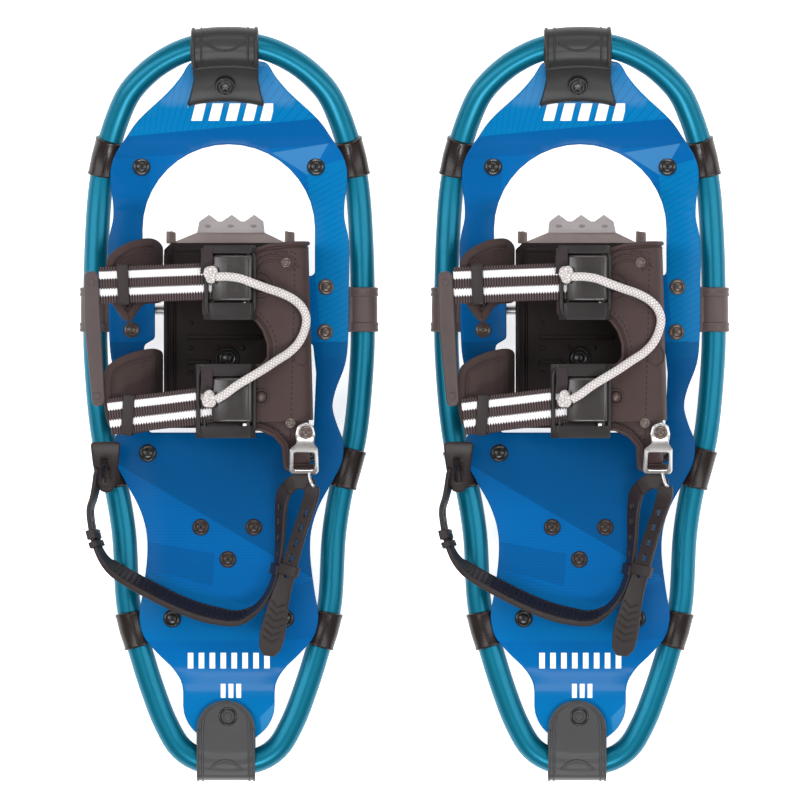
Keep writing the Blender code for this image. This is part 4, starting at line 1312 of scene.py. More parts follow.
@dataclass
class Deck:
    """The printed deck and the rivets through it."""

    bench: Bench
    rim: float = 0.9
    # Each group of rivets: its name, its finish, the radius of a head and the places.
    rivets: tuple = (
        (
            "deck_rivets", "rivet_black", 5.9,
            ((55.9, 152.2), (-55.9, 152.2), (52, -31.5), (-52, -31.5), (36.3, -137.5), (-36.3, -137.5)),
        ),
        ("pivot_rivets", "rivet_bronze", 5.2, ((62.3, 75.1), (61.7, 46.2), (-62.3, 47.5), (-62.3, 75))),
        ("heel_rivets", "rivet_dark", 5.5, ((-18, -79), (16, -79), (-0.6, -99.6))),
    )
    rivet_height: float = 1.9

    def hole(self) -> list[Vector]:
        """The opening for the binding."""
        arc = []
        for k in range(10, -1, -1):
            a = math.pi / 20 * k
            arc.append((HOLE_HALF_WIDTH * math.cos(a), HOLE_CENTRE_Y + HOLE_HALF_LENGTH * math.sin(a)))
        arc[0] = (0.0, arc[0][1])
        return rounded(mirrored([*arc, *HOLE_SIDE]), 3.0, 3)

    def build(self) -> None:
        """Cuts the sheet, bends it at its ends and sets the rivets on it."""
        right = curve(DECK_HALF, 4)
        outline = [Vector(p) for p in mirrored([(p.x, p.y) for p in right])]
        cuts = [(1, y) for y in (*steps(-216, -160, 4), *steps(118, 219, 4))]
        cuts += [(0, x) for x in (-36, -18, 0, 18, 36)]
        mesh = panel(outline, round_rim(DECK_THICKNESS, self.rim), [self.hole()], cuts, self.bent)
        self.bench.add("deck_sheet", mesh, "frame", "deck_print", ["deck"])
        for name, finish, radius, places in self.rivets:
            found = [(Vector((x, y, deck_top(y) - 0.1)), UP) for x, y in places]
            self.bench.studs(name, StudKind.RIVET, found, "frame", finish, radius, self.rivet_height)

    def bent(self, point: Vector) -> Vector:
        """The sheet's height at its place."""
        return Vector((point.x, point.y, point.z + deck_level(point.y)))


@dataclass
class EndCaps:
    """The moulded caps at the toe and at the tail."""

    bench: Bench
    outer: float = 10.6
    wall: float = 2.2
    columns: int = 33
    middle: float = -1.9
    arch: float = 18.7
    arch_y: float = -208.8
    # The toe cap's profile over the nose: (y, height), from its skirt round the tube to its tongue.
    toe_skirt: tuple = ((190.5, 15.4), (191.2, 19.6), (200, 23.3), (209, 27.6), (215.5, 32.6), (220.5, 37.2))
    toe_tongue: tuple = ((222.5, 21.6), (212, 19), (201, 16.4))
    tail_skirt: tuple = ((-190.1, 4.3), (-190.5, 6.9), (-199, 8.3), (-210, 9.6), (-219, 11.2), (-224, 11.8))
    tail_foot: tuple = (
        (-238.6, 8.3), (-241.3, 2), (-241.3, -9), (-240, -10.4), (-226, -10.4), (-218, -8), (-206, -2.2),
    )
    # The toe cap's left and right edges as (y, x).
    toe_left: tuple = ((190, -26), (200, -23.4), (207, -22), (216, -22.6), (222, -23.8), (240, -23.8))
    toe_right: tuple = ((190, 22.5), (200, 20.2), (207, 19), (216, 19.2), (222, 19.5), (240, 19.5))
    toe_rows: int = 60
    tail_rows: int = 64

    def build(self) -> None:
        """Builds both caps with their raised bands and rivets."""
        self.toe()
        self.tail()

    def arc(
        self, centre: tuple[float, float], start: float, end: float, count: int = 12
    ) -> list[tuple[float, float]]:
        """Part of the round section over the tube, from one angle to another in degrees."""
        turns = [math.radians(start + (end - start) * k / count) for k in range(count + 1)]
        return [(centre[0] + self.outer * math.cos(a), centre[1] + self.outer * math.sin(a)) for a in turns]

    def toe_point(self, s: float, x: float) -> Vector:
        """A point on the toe cap's outer face: s is the place along the profile, from 0 to 1."""
        y, h = self.along(self.toe_line, s)
        bow = 0.0036 * x * x * smoothstep(196, 214, y)
        dip = 3.0 * (1 - (abs(x - self.middle) / 24) ** 2) * (1 - smoothstep(0, 0.2, s))
        return Vector((x, y - bow + max(0.0, dip), h))

    def along(self, line: Sequence[Vector], share: float) -> Vector:
        """A point at a share of a line's length; the line is evenly spaced."""
        at = clamp(share) * (len(line) - 1)
        k = min(int(at), len(line) - 2)
        return line[k].lerp(line[k + 1], at - k)

    def toe_span(self, y: float) -> tuple[float, float]:
        """The left and right edges of the toe cap at y."""
        return interpolate(self.toe_left, y), interpolate(self.toe_right, y)

    def toe(self) -> None:
        """The toe cap: a hump over the tube with a flared skirt on the deck."""
        centre = (230.6, lift(230.6))
        round_part = self.arc(centre, 128, -118)
        self.toe_line = even(curve([*self.toe_skirt, *round_part, *self.toe_tongue], 4), self.toe_rows)
        grid, last = [], self.columns - 1
        for k, (y, _) in enumerate(self.toe_line):
            s = k / (self.toe_rows - 1)
            left, right = self.toe_span(y)
            grid.append([self.toe_point(s, left + (right - left) * j / last) for j in range(last + 1)])
        self.bench.add("toe_cover", shell(grid, self.wall), "frame", "cap_black", ["toe_cap"])
        bands = []
        for share, inset_mm in ((0.0, 1.6), (1.0, -1.6)):
            bands.append(self.band(share, inset_mm, 0.30, 0.74, 1.3))
            bands.append(self.band(share, inset_mm * 4.2, 0.33, 0.7, 0.7))
        smile = []
        for k in range(17):
            x = self.middle - 12 + 24 * k / 16
            y_up = 0.44 - 0.05 * (1 - ((x - self.middle) / 12) ** 2)
            smile.append(self.toe_point(y_up, x))
        bands.append(rod(smile, 0.8))
        s = 0.285
        left, right = self.toe_span(self.along(self.toe_line, s).x)
        line = [self.toe_point(s, left + 0.5 + (right - left - 1.0) * j / 16) for j in range(17)]
        bands.append(rod(line, 0.8, flat=0.7))
        self.bench.add("toe_bands", merged(bands), "frame", "cap_black")
        seat = self.toe_point(0.2, self.middle)
        place = [(Vector((self.middle, 203, seat.z + 0.4)), Vector((0, -0.42, 0.9)))]
        self.bench.studs("toe_rivet", StudKind.RIVET, place, "frame", "rivet_black", 6.4, 2.2)

    def band(self, share: float, inset_mm: float, start: float, end: float, radius: float) -> bpy.types.Mesh:
        """A raised band over the hump, beside one of its ends."""
        line = []
        for k in range(25):
            s = start + (end - start) * k / 24
            left, right = self.toe_span(self.along(self.toe_line, s).x)
            line.append(self.toe_point(s, left + (right - left) * share + inset_mm))
        return rod(line, radius)

    def tail_point(self, s: float, share: float) -> Vector:
        """A point on the tail cap's outer face; share goes from its left edge to its right one."""
        y, h = self.along(self.tail_line, s)
        rise = max(0.0, y - self.arch_y)
        half = math.sqrt(max(self.arch * self.arch - rise * rise, 2.0))
        x = self.middle + half * (2 * share - 1)
        bow = 0.0058 * x * x * smoothstep(-205, -222, y) * smoothstep(-241.4, -232, y)
        return Vector((x, y + bow, h))

    def tail(self) -> None:
        """The tail cap: an arched skirt, a round back and a foot."""
        round_part = self.arc((-229.9, 0.0), 78, 128, 6)
        self.tail_line = even(curve([*self.tail_skirt, *round_part, *self.tail_foot], 4), self.tail_rows)
        grid, last = [], self.columns - 1
        for k in range(self.tail_rows):
            s = k / (self.tail_rows - 1)
            grid.append([self.tail_point(s, 1 - j / last) for j in range(last + 1)])
        self.bench.add("tail_cover", shell(grid, self.wall), "frame", "cap_grey", ["tail_cap"])
        bands = []
        for share, start in ((0.1, 0.13), (0.9, 0.13), (0.02, 0.2), (0.98, 0.2)):
            line = [self.tail_point(start + (0.62 - start) * k / 24, share) for k in range(25)]
            bands.append(rod(line, 0.8))
        arch = []
        for k in range(17):
            s = 0.44 - 0.055 * (1 - ((k - 8) / 8) ** 2)
            arch.append(self.tail_point(s, 0.24 + 0.52 * k / 16))
        bands.append(rod(arch, 0.9))
        crown, radius = [], self.arch - 2.2
        for k in range(33):
            a = math.pi * k / 32
            x, y = self.middle + radius * math.cos(a), self.arch_y + radius * math.sin(a)
            crown.append(Vector((x, y, interpolate(sorted(self.tail_skirt), y) + 0.1)))
        bands.append(rod(crown, 0.7))
        self.bench.add("tail_bands", merged(bands), "frame", "cap_grey")
        seat = Vector((-0.6, -200.4, 8.4))
        place = [(seat, Vector((0, 0.12, 1)))]
        self.bench.studs("tail_rivet", StudKind.RIVET, place, "frame", "cap_grey", 4.6, 1.8)
        ring = [Vector((seat.x + c.x, seat.y + c.y, seat.z - 0.12 * c.y)) for c in circle(5.3, 36)]
        self.bench.add("tail_ring", hoop(ring, 0.75, 10), "frame", "rivet_black")


@dataclass
class Clamps:
    """The straps round the tube that hold the deck, and the clips that carry the pivot axle."""

    bench: Bench
    outer: float = 9.35
    wraps: tuple = (
        ("front_wrap", 146.0, 170.0, (55.9, 152.2)),
        ("rear_wrap", -54.0, -28.5, (52.0, -31.5)),
        ("tail_wrap", -156.0, -133.3, (36.3, -137.5)),
    )
    # A rolled end as (distance from it, rise over the sleeve).
    roll: tuple = ((0, -1.4), (0.15, -0.35), (0.6, 0.25), (1.6, 0.3), (2.6, -0.05))
    clip: tuple = (46.2, 75.3)
    clip_outer: float = 9.6
    pivot: tuple = (60.4, 0.3)

    def build(self) -> None:
        """Builds the right-hand clamps and their mirror images."""
        for name, low, high, rivet in self.wraps:
            self.pair(name, self.wrap(low, high, rivet), "wrap_brown")
        self.pair("pivot_wrap", self.pivot_clip(), "clip_grey")
        y, h = self.pivot
        axle = shifted(panel(circle(3.0, 24, (y, h)), round_rim(115.0, 0.6), shape=upright_x), x=-57.5)
        self.bench.add("pivot_pin", axle, "frame", "axle_plate", ["pivot_axle"])

    def pair(self, name: str, mesh: bpy.types.Mesh, finish: str) -> None:
        """A clamp on the right and its mirror image on the left."""
        self.bench.add(f"{name}_right", mesh, "frame", finish, [f"{name}_r"])
        self.bench.add(f"{name}_left", flipped(mesh), "frame", finish, [f"{name}_l"])

    def rolled(self, low: float, high: float, outer: float) -> bpy.types.Mesh:
        """A sleeve with rolled ends."""
        path = tube_line(1, low - 3, high + 3)
        path = [p for p in even(path, 80) if low <= p.y <= high]
        span = lengths(path)[-1]
        ends = [(at, outer + rise) for at, rise in self.roll]
        profile = [*ends, (span / 2, outer + 0.1), *((span - at, radius) for at, radius in reversed(ends))]
        return sleeve(path, profile)

    def wrap(self, low: float, high: float, rivet: tuple[float, float]) -> bpy.types.Mesh:
        """A strap round the tube with its tab under the deck."""
        path = tube_line(1, low, high)
        middle = Vector((sum(p.x for p in path) / len(path), (low + high) / 2))
        reach = (Vector(rivet) - middle).normalized()
        across = Vector((-reach.y, reach.x))
        half = lengths(path)[-1] / 2 - 0.6
        start, end, wide = middle + reach * 2, Vector(rivet), 7.6
        corners = [start - across * half, end - across * wide, end + reach * wide, end + across * wide]
        outline = rounded([*corners, start + across * half], 3.0)
        tab = panel(outline, round_rim(2.2, 0.7), cuts=[(0, x) for x in steps(30, 80, 6)])
        for vert in tab.vertices:
            vert.co.z += deck_level(vert.co.y) - 2.3
        rib = [Vector((p.x, p.y, p.z + self.outer - 0.2)) for p in path[1:-1]]
        return merged([self.rolled(low, high, self.outer), tab, rod(rib, 0.7)])

    def pivot_clip(self) -> bpy.types.Mesh:
        """The clip with the axle's barrel and its two raised bands."""
        low, high = self.clip
        y, h = self.pivot
        tab = panel(rounded([(48, low), (81, low), (81, high), (48, high)], 2.5), round_rim(2.0, 0.6))
        for vert in tab.vertices:
            vert.co.z += DECK_HIGH - 2.2
        barrel = shifted(panel(circle(4.8, 24, (y, h)), round_rim(10.0, 0.8), shape=upright_x), x=48)
        corners = [Vector(c) for c in ((y - 4, h), (y + 4, h), (y + 4, 5.6), (y - 4, 5.6))]
        web = shifted(panel(corners, round_rim(9.6, 0.5), shape=upright_x), x=48.2)
        bands = []
        for start, end in ((low, low + 6.5), (high - 6.5, high)):
            bands.append(self.rolled(start, end, self.clip_outer + 0.15))
        return merged([self.rolled(low, high, self.clip_outer - 0.3), tab, barrel, web, *bands])


@dataclass
class Crampons:
    """The toothed steel plates under the toe and under the heel."""

    bench: Bench
    # Each plate: its name, the body that it rides on and the width of its rounded edges.
    plates: tuple = (("toe", "binding", 0.35), ("heel", "frame", 0.3))

    def build(self) -> None:
        """Rounds the pressed edges of both plates and adds the dimples."""
        for name, body, width in self.plates:
            plate = self.bench.refined(f"{name}_crampon", width)
            self.bench.add(f"{name}_teeth", plate, body, "crampon_plate", [f"{name}_crampon"])
        crease = [Vector((-19.5 + 41.5 * k / 12, 109.6, 5.0)) for k in range(13)]
        self.bench.add("toe_crease", rod(crease, 0.8, flat=0.6), "binding", "crampon_plate")
        dimples = [(Vector((x, 114.5, 3.2)), Vector((0, 0.8, 0.5))) for x in (-13.6, 1.2, 15.8)]
        ears = []
        for left, right in ((-40.1, -34.0), (35.9, 42.2)):
            outline = rounded([(left, 103), (right, 103), (right, 110.2), (left, 111)], 0.8)
            ears.append(panel(outline, round_rim(1.6, 0.4)))
        # Painted shade: the ears are steel like the plate, and their darker bronze finish stands for the
        # shade they sit in.
        self.bench.add("toe_ears", shifted(merged(ears), z=5.8), "binding", "rivet_bronze")
        self.bench.studs("toe_dimples", StudKind.DOT, dimples, "binding", "crampon_plate", 2.2, 0.7)


# ---- binding ----------------------------------------------------------------------------------------------


@dataclass
class Footbed:
    """The plastic footbed with its slot, ribs, dots and screw."""

    bench: Bench
    floor: float = 8.6
    screw: tuple = (-0.6, 29.5)
    dots: tuple = ((-24.4, 52), (-24.4, 36), (-7.7, 36), (9, 36), (-24.4, 20))

    def build(self) -> None:
        """Rounds the plate's edges and adds what is raised on it."""
        plate = self.bench.refined("base_plate", 0.4)
        self.bench.add("footbed", plate, "binding", "binding_dark", ["base_plate"])
        ring = rounded([(-36.2, 87.4), (-16.4, 87.4), (-16.4, 99.6), (-36.2, 99.6)], 3.0)
        lip = hoop([Vector((p.x, p.y, self.floor)) for p in ring], 0.8, 8)
        well = hoop([Vector((p.x, p.y, self.floor)) for p in circle(7.0, 36, self.screw)], 0.7, 8)
        edge = [Vector((-34.6, y_at, self.floor)) for y_at in (2, 20, 40, 60, 66)]
        trim = merged([lip, well, rod(edge, 1.0, flat=1.4)])
        self.bench.add("footbed_trim", trim, "binding", "binding_dark")
        ring = rounded([(-34.8, 88.7), (-17.7, 88.7), (-17.7, 98.3), (-34.8, 98.3)], 1.0)
        recess = panel(ring, round_rim(1.4, 0.3))
        self.bench.add("footbed_recess", shifted(recess, z=6.2), "binding", "binding_dark")
        place = [(Vector((*self.screw, 5.4)), UP)]
        self.bench.studs("footbed_screw", StudKind.RIVET, place, "binding", "rivet_black", 6.2, 2.6)
        places = [(Vector((a, b, self.floor)), UP) for a, b in self.dots]
        self.bench.studs("footbed_dots", StudKind.DOT, places, "binding", "binding_dark", 1.7, 0.7)


@dataclass
class Wing:
    """The curved shell that rises on the right and reaches over the foot."""

    bench: Bench
    thickness: float = 2.8
    lean: float = 0.028
    middle_y: float = 60.4
    profile: tuple = (
        (42.6, 7), (45.2, 18), (46.6, 30), (50.2, 38), (52.6, 45), (51.4, 52), (46, 56.8), (36, 59), (22, 59),
        (-16, 58.4),
    )
    # The top's outline as (x, y), from the front lobe's left end to the shell's outer side.
    front_edge: tuple = ((-16, 96), (12, 97), (28, 102), (44, 103.6))
    rear_edge: tuple = (
        (33, -43), (32, -27), (27, -21), (18.6, -17), (-16, -17), (-16, 25.5), (21, 25.5), (24.2, 30),
        (24.4, 38), (22, 46), (18, 52), (14, 55), (-16, 55),
    )
    rim: tuple = (
        (1.0, 0), (0.3, 0.2), (0, 0.8), (0, 2.9), (0.3, 3.5), (0.9, 3.8), (1.8, 3.8), (2.3, 3.3),
        (2.7, 2.5), (3.2, 2.3), (3.7, 2.7), (4.1, 3.1), (4.6, 2.8),
    )
    under_arm: float = 12.5

    def __post_init__(self) -> None:
        """Lays the profile out flat."""
        self.line = even(curve(self.profile, 8), 200)
        self.walked = lengths(self.line)

    def along(self, x: float) -> float:
        """The distance along the profile where its top part is at x."""
        for k in range(len(self.line) - 1, 0, -1):
            if self.line[k - 1].x >= x:
                a, b = self.line[k - 1], self.line[k]
                return self.walked[k - 1] + (a.x - x) / max(a.x - b.x, 1e-6) * (b - a).length
        return 0.0

    def at(self, s: float, y: float, height: float) -> Vector:
        """The place of a point at a distance along the profile, at y and at a height through the wall."""
        at = clamp(s / self.walked[-1]) * (len(self.line) - 1)
        k = min(int(at), len(self.line) - 2)
        a, b = self.line[k], self.line[k + 1]
        point = a.lerp(b, s / self.walked[-1] * (len(self.line) - 1) - k)
        before, after = self.line[max(k - 2, 0)], self.line[min(k + 3, len(self.line) - 1)]
        along = (after - before).normalized()
        point = point + Vector((along.y, -along.x)) * (height - self.thickness)
        drop = 20 * smoothstep(-16, -44, y) * max(0.0, point.y - 8.6) / 50
        return Vector((point.x + self.lean * (self.middle_y - y), y, point.y - drop))

    def shape(self, point: Vector) -> Vector:
        """Bends a point of the flat panel into place."""
        return self.at(point.x, point.y, point.z)

    def facing(self, s: float, y: float, height: float) -> tuple[Vector, Vector]:
        """A place by its flat position, and the direction that it faces."""
        place = self.at(s, y, height)
        return place, (self.at(s, y, height + 1) - place).normalized()

    def on_top(self, x: float, y: float) -> tuple[Vector, Vector]:
        """A place on the outer face over x, and the direction that it faces."""
        return self.facing(self.along(x), y, self.thickness)

    def outline(self) -> list[Vector]:
        """The shell's outline, laid flat."""
        low = next(w for p, w in zip(self.line, self.walked) if p.y >= self.under_arm)
        flat = [(self.along(x), y) for x, y in self.front_edge]
        flat += [(0.0, 103.6), (0.0, -13), (low, -13), (low, -43)]
        flat += [(self.along(x), y) for x, y in self.rear_edge]
        return rounded(flat, 4.0, 5)

    def build(self) -> None:
        """Bends the shell and adds its stitches, collar ridges and buttons."""
        outline = self.outline()
        cuts = [(0, s) for s in steps(0, self.walked[-1], 2.6)] + [(1, y) for y in steps(-43, 104, 6)]
        mesh = panel(outline, self.rim, cuts=cuts, shape=self.shape)
        self.bench.add("wing_shell", mesh, "binding", "binding_grey", ["buckle_wing"])
        loop = [p for p in inset(outline, 6.2) if p.x > self.along(48)]
        line = [self.facing(p.x, p.y, 2.75) for p in even(loop, 90)]
        sizes = (3.4, 2.0, 0.8, 0.5)
        self.bench.row("wing_stitches", RowShape.STITCH, line, "binding", "stitch_dark", sizes)
        ridges = []
        for radius in (9.5, 12.5, 15.5):
            ring = []
            for k in range(19):
                a = math.radians(20 + 150 * k / 18)
                s = self.along(30) - radius * 1.1 * math.cos(a)
                ring.append(self.facing(s, 82 + radius * math.sin(a), 2.9)[0])
            ridges.append(rod(ring, 0.7))
        for x, y, radius in ((50.7, 30.8, 6.2), (21.2, 75.1, 8.2)):
            ring = [self.facing(self.along(min(x, 47)) + c.x, y + c.y, 2.8)[0] for c in circle(radius, 28)]
            ridges.append(hoop(ring, 0.6, 8))
        self.bench.add("wing_ridges", merged(ridges), "binding", "binding_grey")
        buttons = [self.on_top(21.2, 75.1), self.on_top(19.9, 4.5)]
        self.bench.studs("wing_buttons", StudKind.BUTTON, buttons, "binding", "binding_grey", 5.2, 2.2)
        raised = [(p + d * 1.6, d) for p, d in buttons]
        self.bench.studs("wing_rivets", StudKind.DOT, raised, "binding", "rivet_bronze", 2.2, 0.8)
        ends = [self.on_top(x, y) for x, y in ((38, -12), (38, 90))]
        self.bench.studs("wing_screws", StudKind.RIVET, ends, "binding", "rivet_bronze", 3.4, 1.2)


@dataclass
class Flaps:
    """The two soft flaps that stand up on the left and fold outwards."""

    bench: Bench
    rise: tuple = ((-80, 47.4), (-66, 46), (-55, 41), (-47.2, 34), (-42, 9))
    outlines: tuple = (
        (
            "front_flap",
            (
                (-42.3, 101), (-47, 105.3), (-55.6, 105.3), (-64, 102.6), (-72.8, 97.3), (-76.8, 92),
                (-76.4, 70), (-73, 63), (-62.9, 52), (-54, 63), (-42.3, 66),
            ),
        ),
        (
            "rear_flap",
            (
                (-42.3, 33), (-46, 35.3), (-54, 34.7), (-64, 31.8), (-73.2, 27), (-77.8, 22), (-78.4, -3),
                (-74, -16), (-62, -19), (-42.3, -12),
            ),
        ),
    )
    rim: tuple = (
        (0.8, 0), (0.2, 0.3), (0, 1.0), (0, 2.4), (0.4, 3.4), (1.4, 3.9), (4.0, 3.9), (4.8, 3.4),
        (5.4, 2.3), (5.9, 2.0), (6.6, 2.4),
    )
    fold_x: float = -42.0

    def build(self) -> None:
        """Builds both flaps with their stitched borders."""
        for name, corners in self.outlines:
            self.flap(name, corners)

    def level(self, x: float) -> float:
        """Height of the flap's lower face."""
        at = clamp(x, -80.0, self.fold_x)
        low, high = (interpolate(self.rise, near) for near in (at - 1.2, min(at + 1.2, self.fold_x)))
        return (low + interpolate(self.rise, at) * 2 + high) / 4

    def bent(self, point: Vector) -> Vector:
        """Raises a point of the flat flap to its place."""
        return Vector((point.x, point.y, point.z + self.level(point.x)))

    def flap(self, name: str, corners: Points) -> None:
        """One flap and its row of stitches."""
        edge = [Vector((min(p.x, self.fold_x), p.y)) for p in even(curve(corners, 6, True), 84, True)]
        cuts = [(0, x) for x in steps(-79, -42, 1.7)]
        mesh = panel(edge, self.rim, cuts=cuts, shape=self.bent)
        self.bench.add(f"{name}_pad", mesh, "binding", "flap_foam", [name])
        loop = [p for p in inset(edge, 7.4) if p.x < -49]
        line = [(self.bent(Vector((p.x, p.y, 2.4))), Vector((-0.3, 0, 1))) for p in loop[2:-2]]
        sizes = (2.6, 1.6, 0.7, 0.5)
        self.bench.row(f"{name}_stitches", RowShape.STITCH, line, "binding", "stitch_dark", sizes)


@dataclass
class Buckles:
    """The two cam buckles and their levers."""

    bench: Bench
    axis: tuple = (13.4, 66.6)
    barrel: float = 2.8
    # Each buckle: its name, its left end, the outer limits of its cheeks along Y and its lever's.
    bodies: tuple = (
        ("front", -14.8, (53.4, 100.6), (65.4, 94.8)),
        ("rear", -19.9, (-21.6, 25.4), (-11.6, 17.0)),
    )
    cover: tuple = ((-9.6, 64.4), (-9.0, 63.9), (10.8, 63.9))
    crown: tuple = ((11.6, 68.9), (7, 68.9), (0, 68.7), (-5, 68.2), (-8.4, 67.2), (-9.6, 65.8))

    def build(self) -> None:
        """Builds both buckles, their wire frames, pins and levers."""
        for name, left, cheeks, span in self.bodies:
            body = self.bench.refined(f"{name}_buckle", 0.7)
            self.bench.add(f"{name}_buckle_body", body, "binding", "buckle_dark", [f"{name}_buckle"])
            self.frame(name, left, *cheeks)
            self.pin(name, span[0])
            self.lever(name, *span)

    def frame(self, name: str, left: float, low: float, high: float) -> None:
        """The rounded loop round the buckle's body."""
        corners = [(left + 1.6, low + 1.6), (17.2, low + 1.6), (17.2, high - 1.6), (left + 1.6, high - 1.6)]
        loop = [Vector((p.x, p.y, 64.6)) for p in rounded(corners, 7.0, 6)]
        inner = [(left + 5.6, low + 5.4), (13.2, low + 5.4), (13.2, low + 13.0), (left + 5.6, low + 13.0)]
        ridge = [Vector((p.x, p.y, 64.6)) for p in rounded(inner, 3.0, 5)]
        mesh = merged([hoop(loop, 1.5, 12), hoop(ridge, 0.8, 8)])
        self.bench.add(f"{name}_buckle_loop", mesh, "binding", "buckle_dark")

    def pin(self, name: str, y: float) -> None:
        """The bright end of the buckle's pin."""
        x, h = self.axis
        end = panel(circle(1.9, 20, (x - 2, h - 0.6)), round_rim(5.0, 0.5), shape=upright_y)
        self.bench.add(f"{name}_pin_end", shifted(end, y=y - 0.4), "binding", "shackle_bright")

    def lever(self, name: str, low: float, high: float) -> None:
        """The curved cover that pulls the strap tight."""
        x, h = self.axis
        turns = [math.radians(-100 + 170 * k / 10) for k in range(11)]
        arc = [(x + self.barrel * math.cos(a), h + self.barrel * math.sin(a)) for a in turns]
        outline = [Vector(p) for p in (*self.cover, *arc, *self.crown)]
        cuts = [(0, v) for v in steps(-9, 16, 3)]
        mesh = shifted(panel(outline, round_rim(high - low, 1.7, 4), cuts=cuts, shape=upright_y), y=high)
        self.bench.add(f"{name}_lever_cover", mesh, "levers", "lever_dark", [f"{name}_lever"])


@dataclass
class PullCord:
    """The round braided cord between the two levers, with a knot at each end."""

    bench: Bench
    radius: float = 3.0
    # Its route from the front lever round to the rear one.
    route: tuple = (
        (-6.8, 80.7, 71.6), (0.6, 80.8, 72.2), (8.7, 79.6, 73), (17.3, 76.4, 72.2), (25.7, 73.4, 69),
        (34.5, 70.4, 65.4), (42.6, 66.2, 62.6), (48, 60.8, 60), (50.3, 54.3, 58.8), (49, 46.5, 59.2),
        (45.2, 38.8, 61), (39.4, 32.8, 63), (31.5, 27.6, 66.4), (23, 21.9, 70.2), (14.4, 16.7, 73),
        (5.8, 11.4, 73), (-1.2, 6.2, 72.2), (-6.8, 2.9, 71.6),
    )
    knots: tuple = ((-10.2, 82.4, 71.4, 0.6), (-11.2, 3.0, 71.4, -0.5))

    def braid(self, path: Sequence[Vector], radius: float) -> bpy.types.Mesh:
        """A cord whose surface rises and falls with its strands."""
        rings, along, sides = [], lengths(path), 20
        for point, walked, (_, side, up) in zip(path, along, frames(path)):
            ring = []
            for k in range(sides):
                a = math.tau * k / sides
                weave = math.sin(3 * a + walked * 1.5) * math.sin(3 * a - walked * 1.5)
                ring.append(point + (side * math.cos(a) + up * math.sin(a)) * radius * (0.94 + 0.06 * weave))
            rings.append(ring)
        return loft(rings, False, True)

    def knot(self, x: float, y: float, h: float, turn: float) -> bpy.types.Mesh:
        """A small overhand knot: a trefoil of cord."""
        path = []
        for k in range(72):
            t = math.tau * k / 72
            reach = 2.15 + 1.05 * math.cos(3 * t)
            a = 2 * t + turn
            across, along = reach * math.cos(a) * 0.95, reach * math.sin(a) * 1.35
            path.append(Vector((x + across, y + along, h + 1.15 * math.sin(3 * t))))
        return hoop(path, 1.75)

    def build(self) -> None:
        """Makes the cord along its route, and its knots."""
        path = even(curve(self.route, 8), 220)
        mesh = self.braid(path, self.radius)
        knots = [self.knot(*knot) for knot in self.knots]
        tied = self.bench.add("cord_knots", merged(knots), "levers", "cord_white")
        for (side, centre_x), knot in zip(SIDES, tied):
            piece = self.bench.place(side, centre_x, "lever_cord", mesh, "cord_white")
            points = [Vector((p.x + centre_x, p.y, p.z + TUBE_LEVEL)) * MM for p in path]
            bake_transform(piece)
            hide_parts(f"{side}_pull_cord")
            lengths(points)[-1]


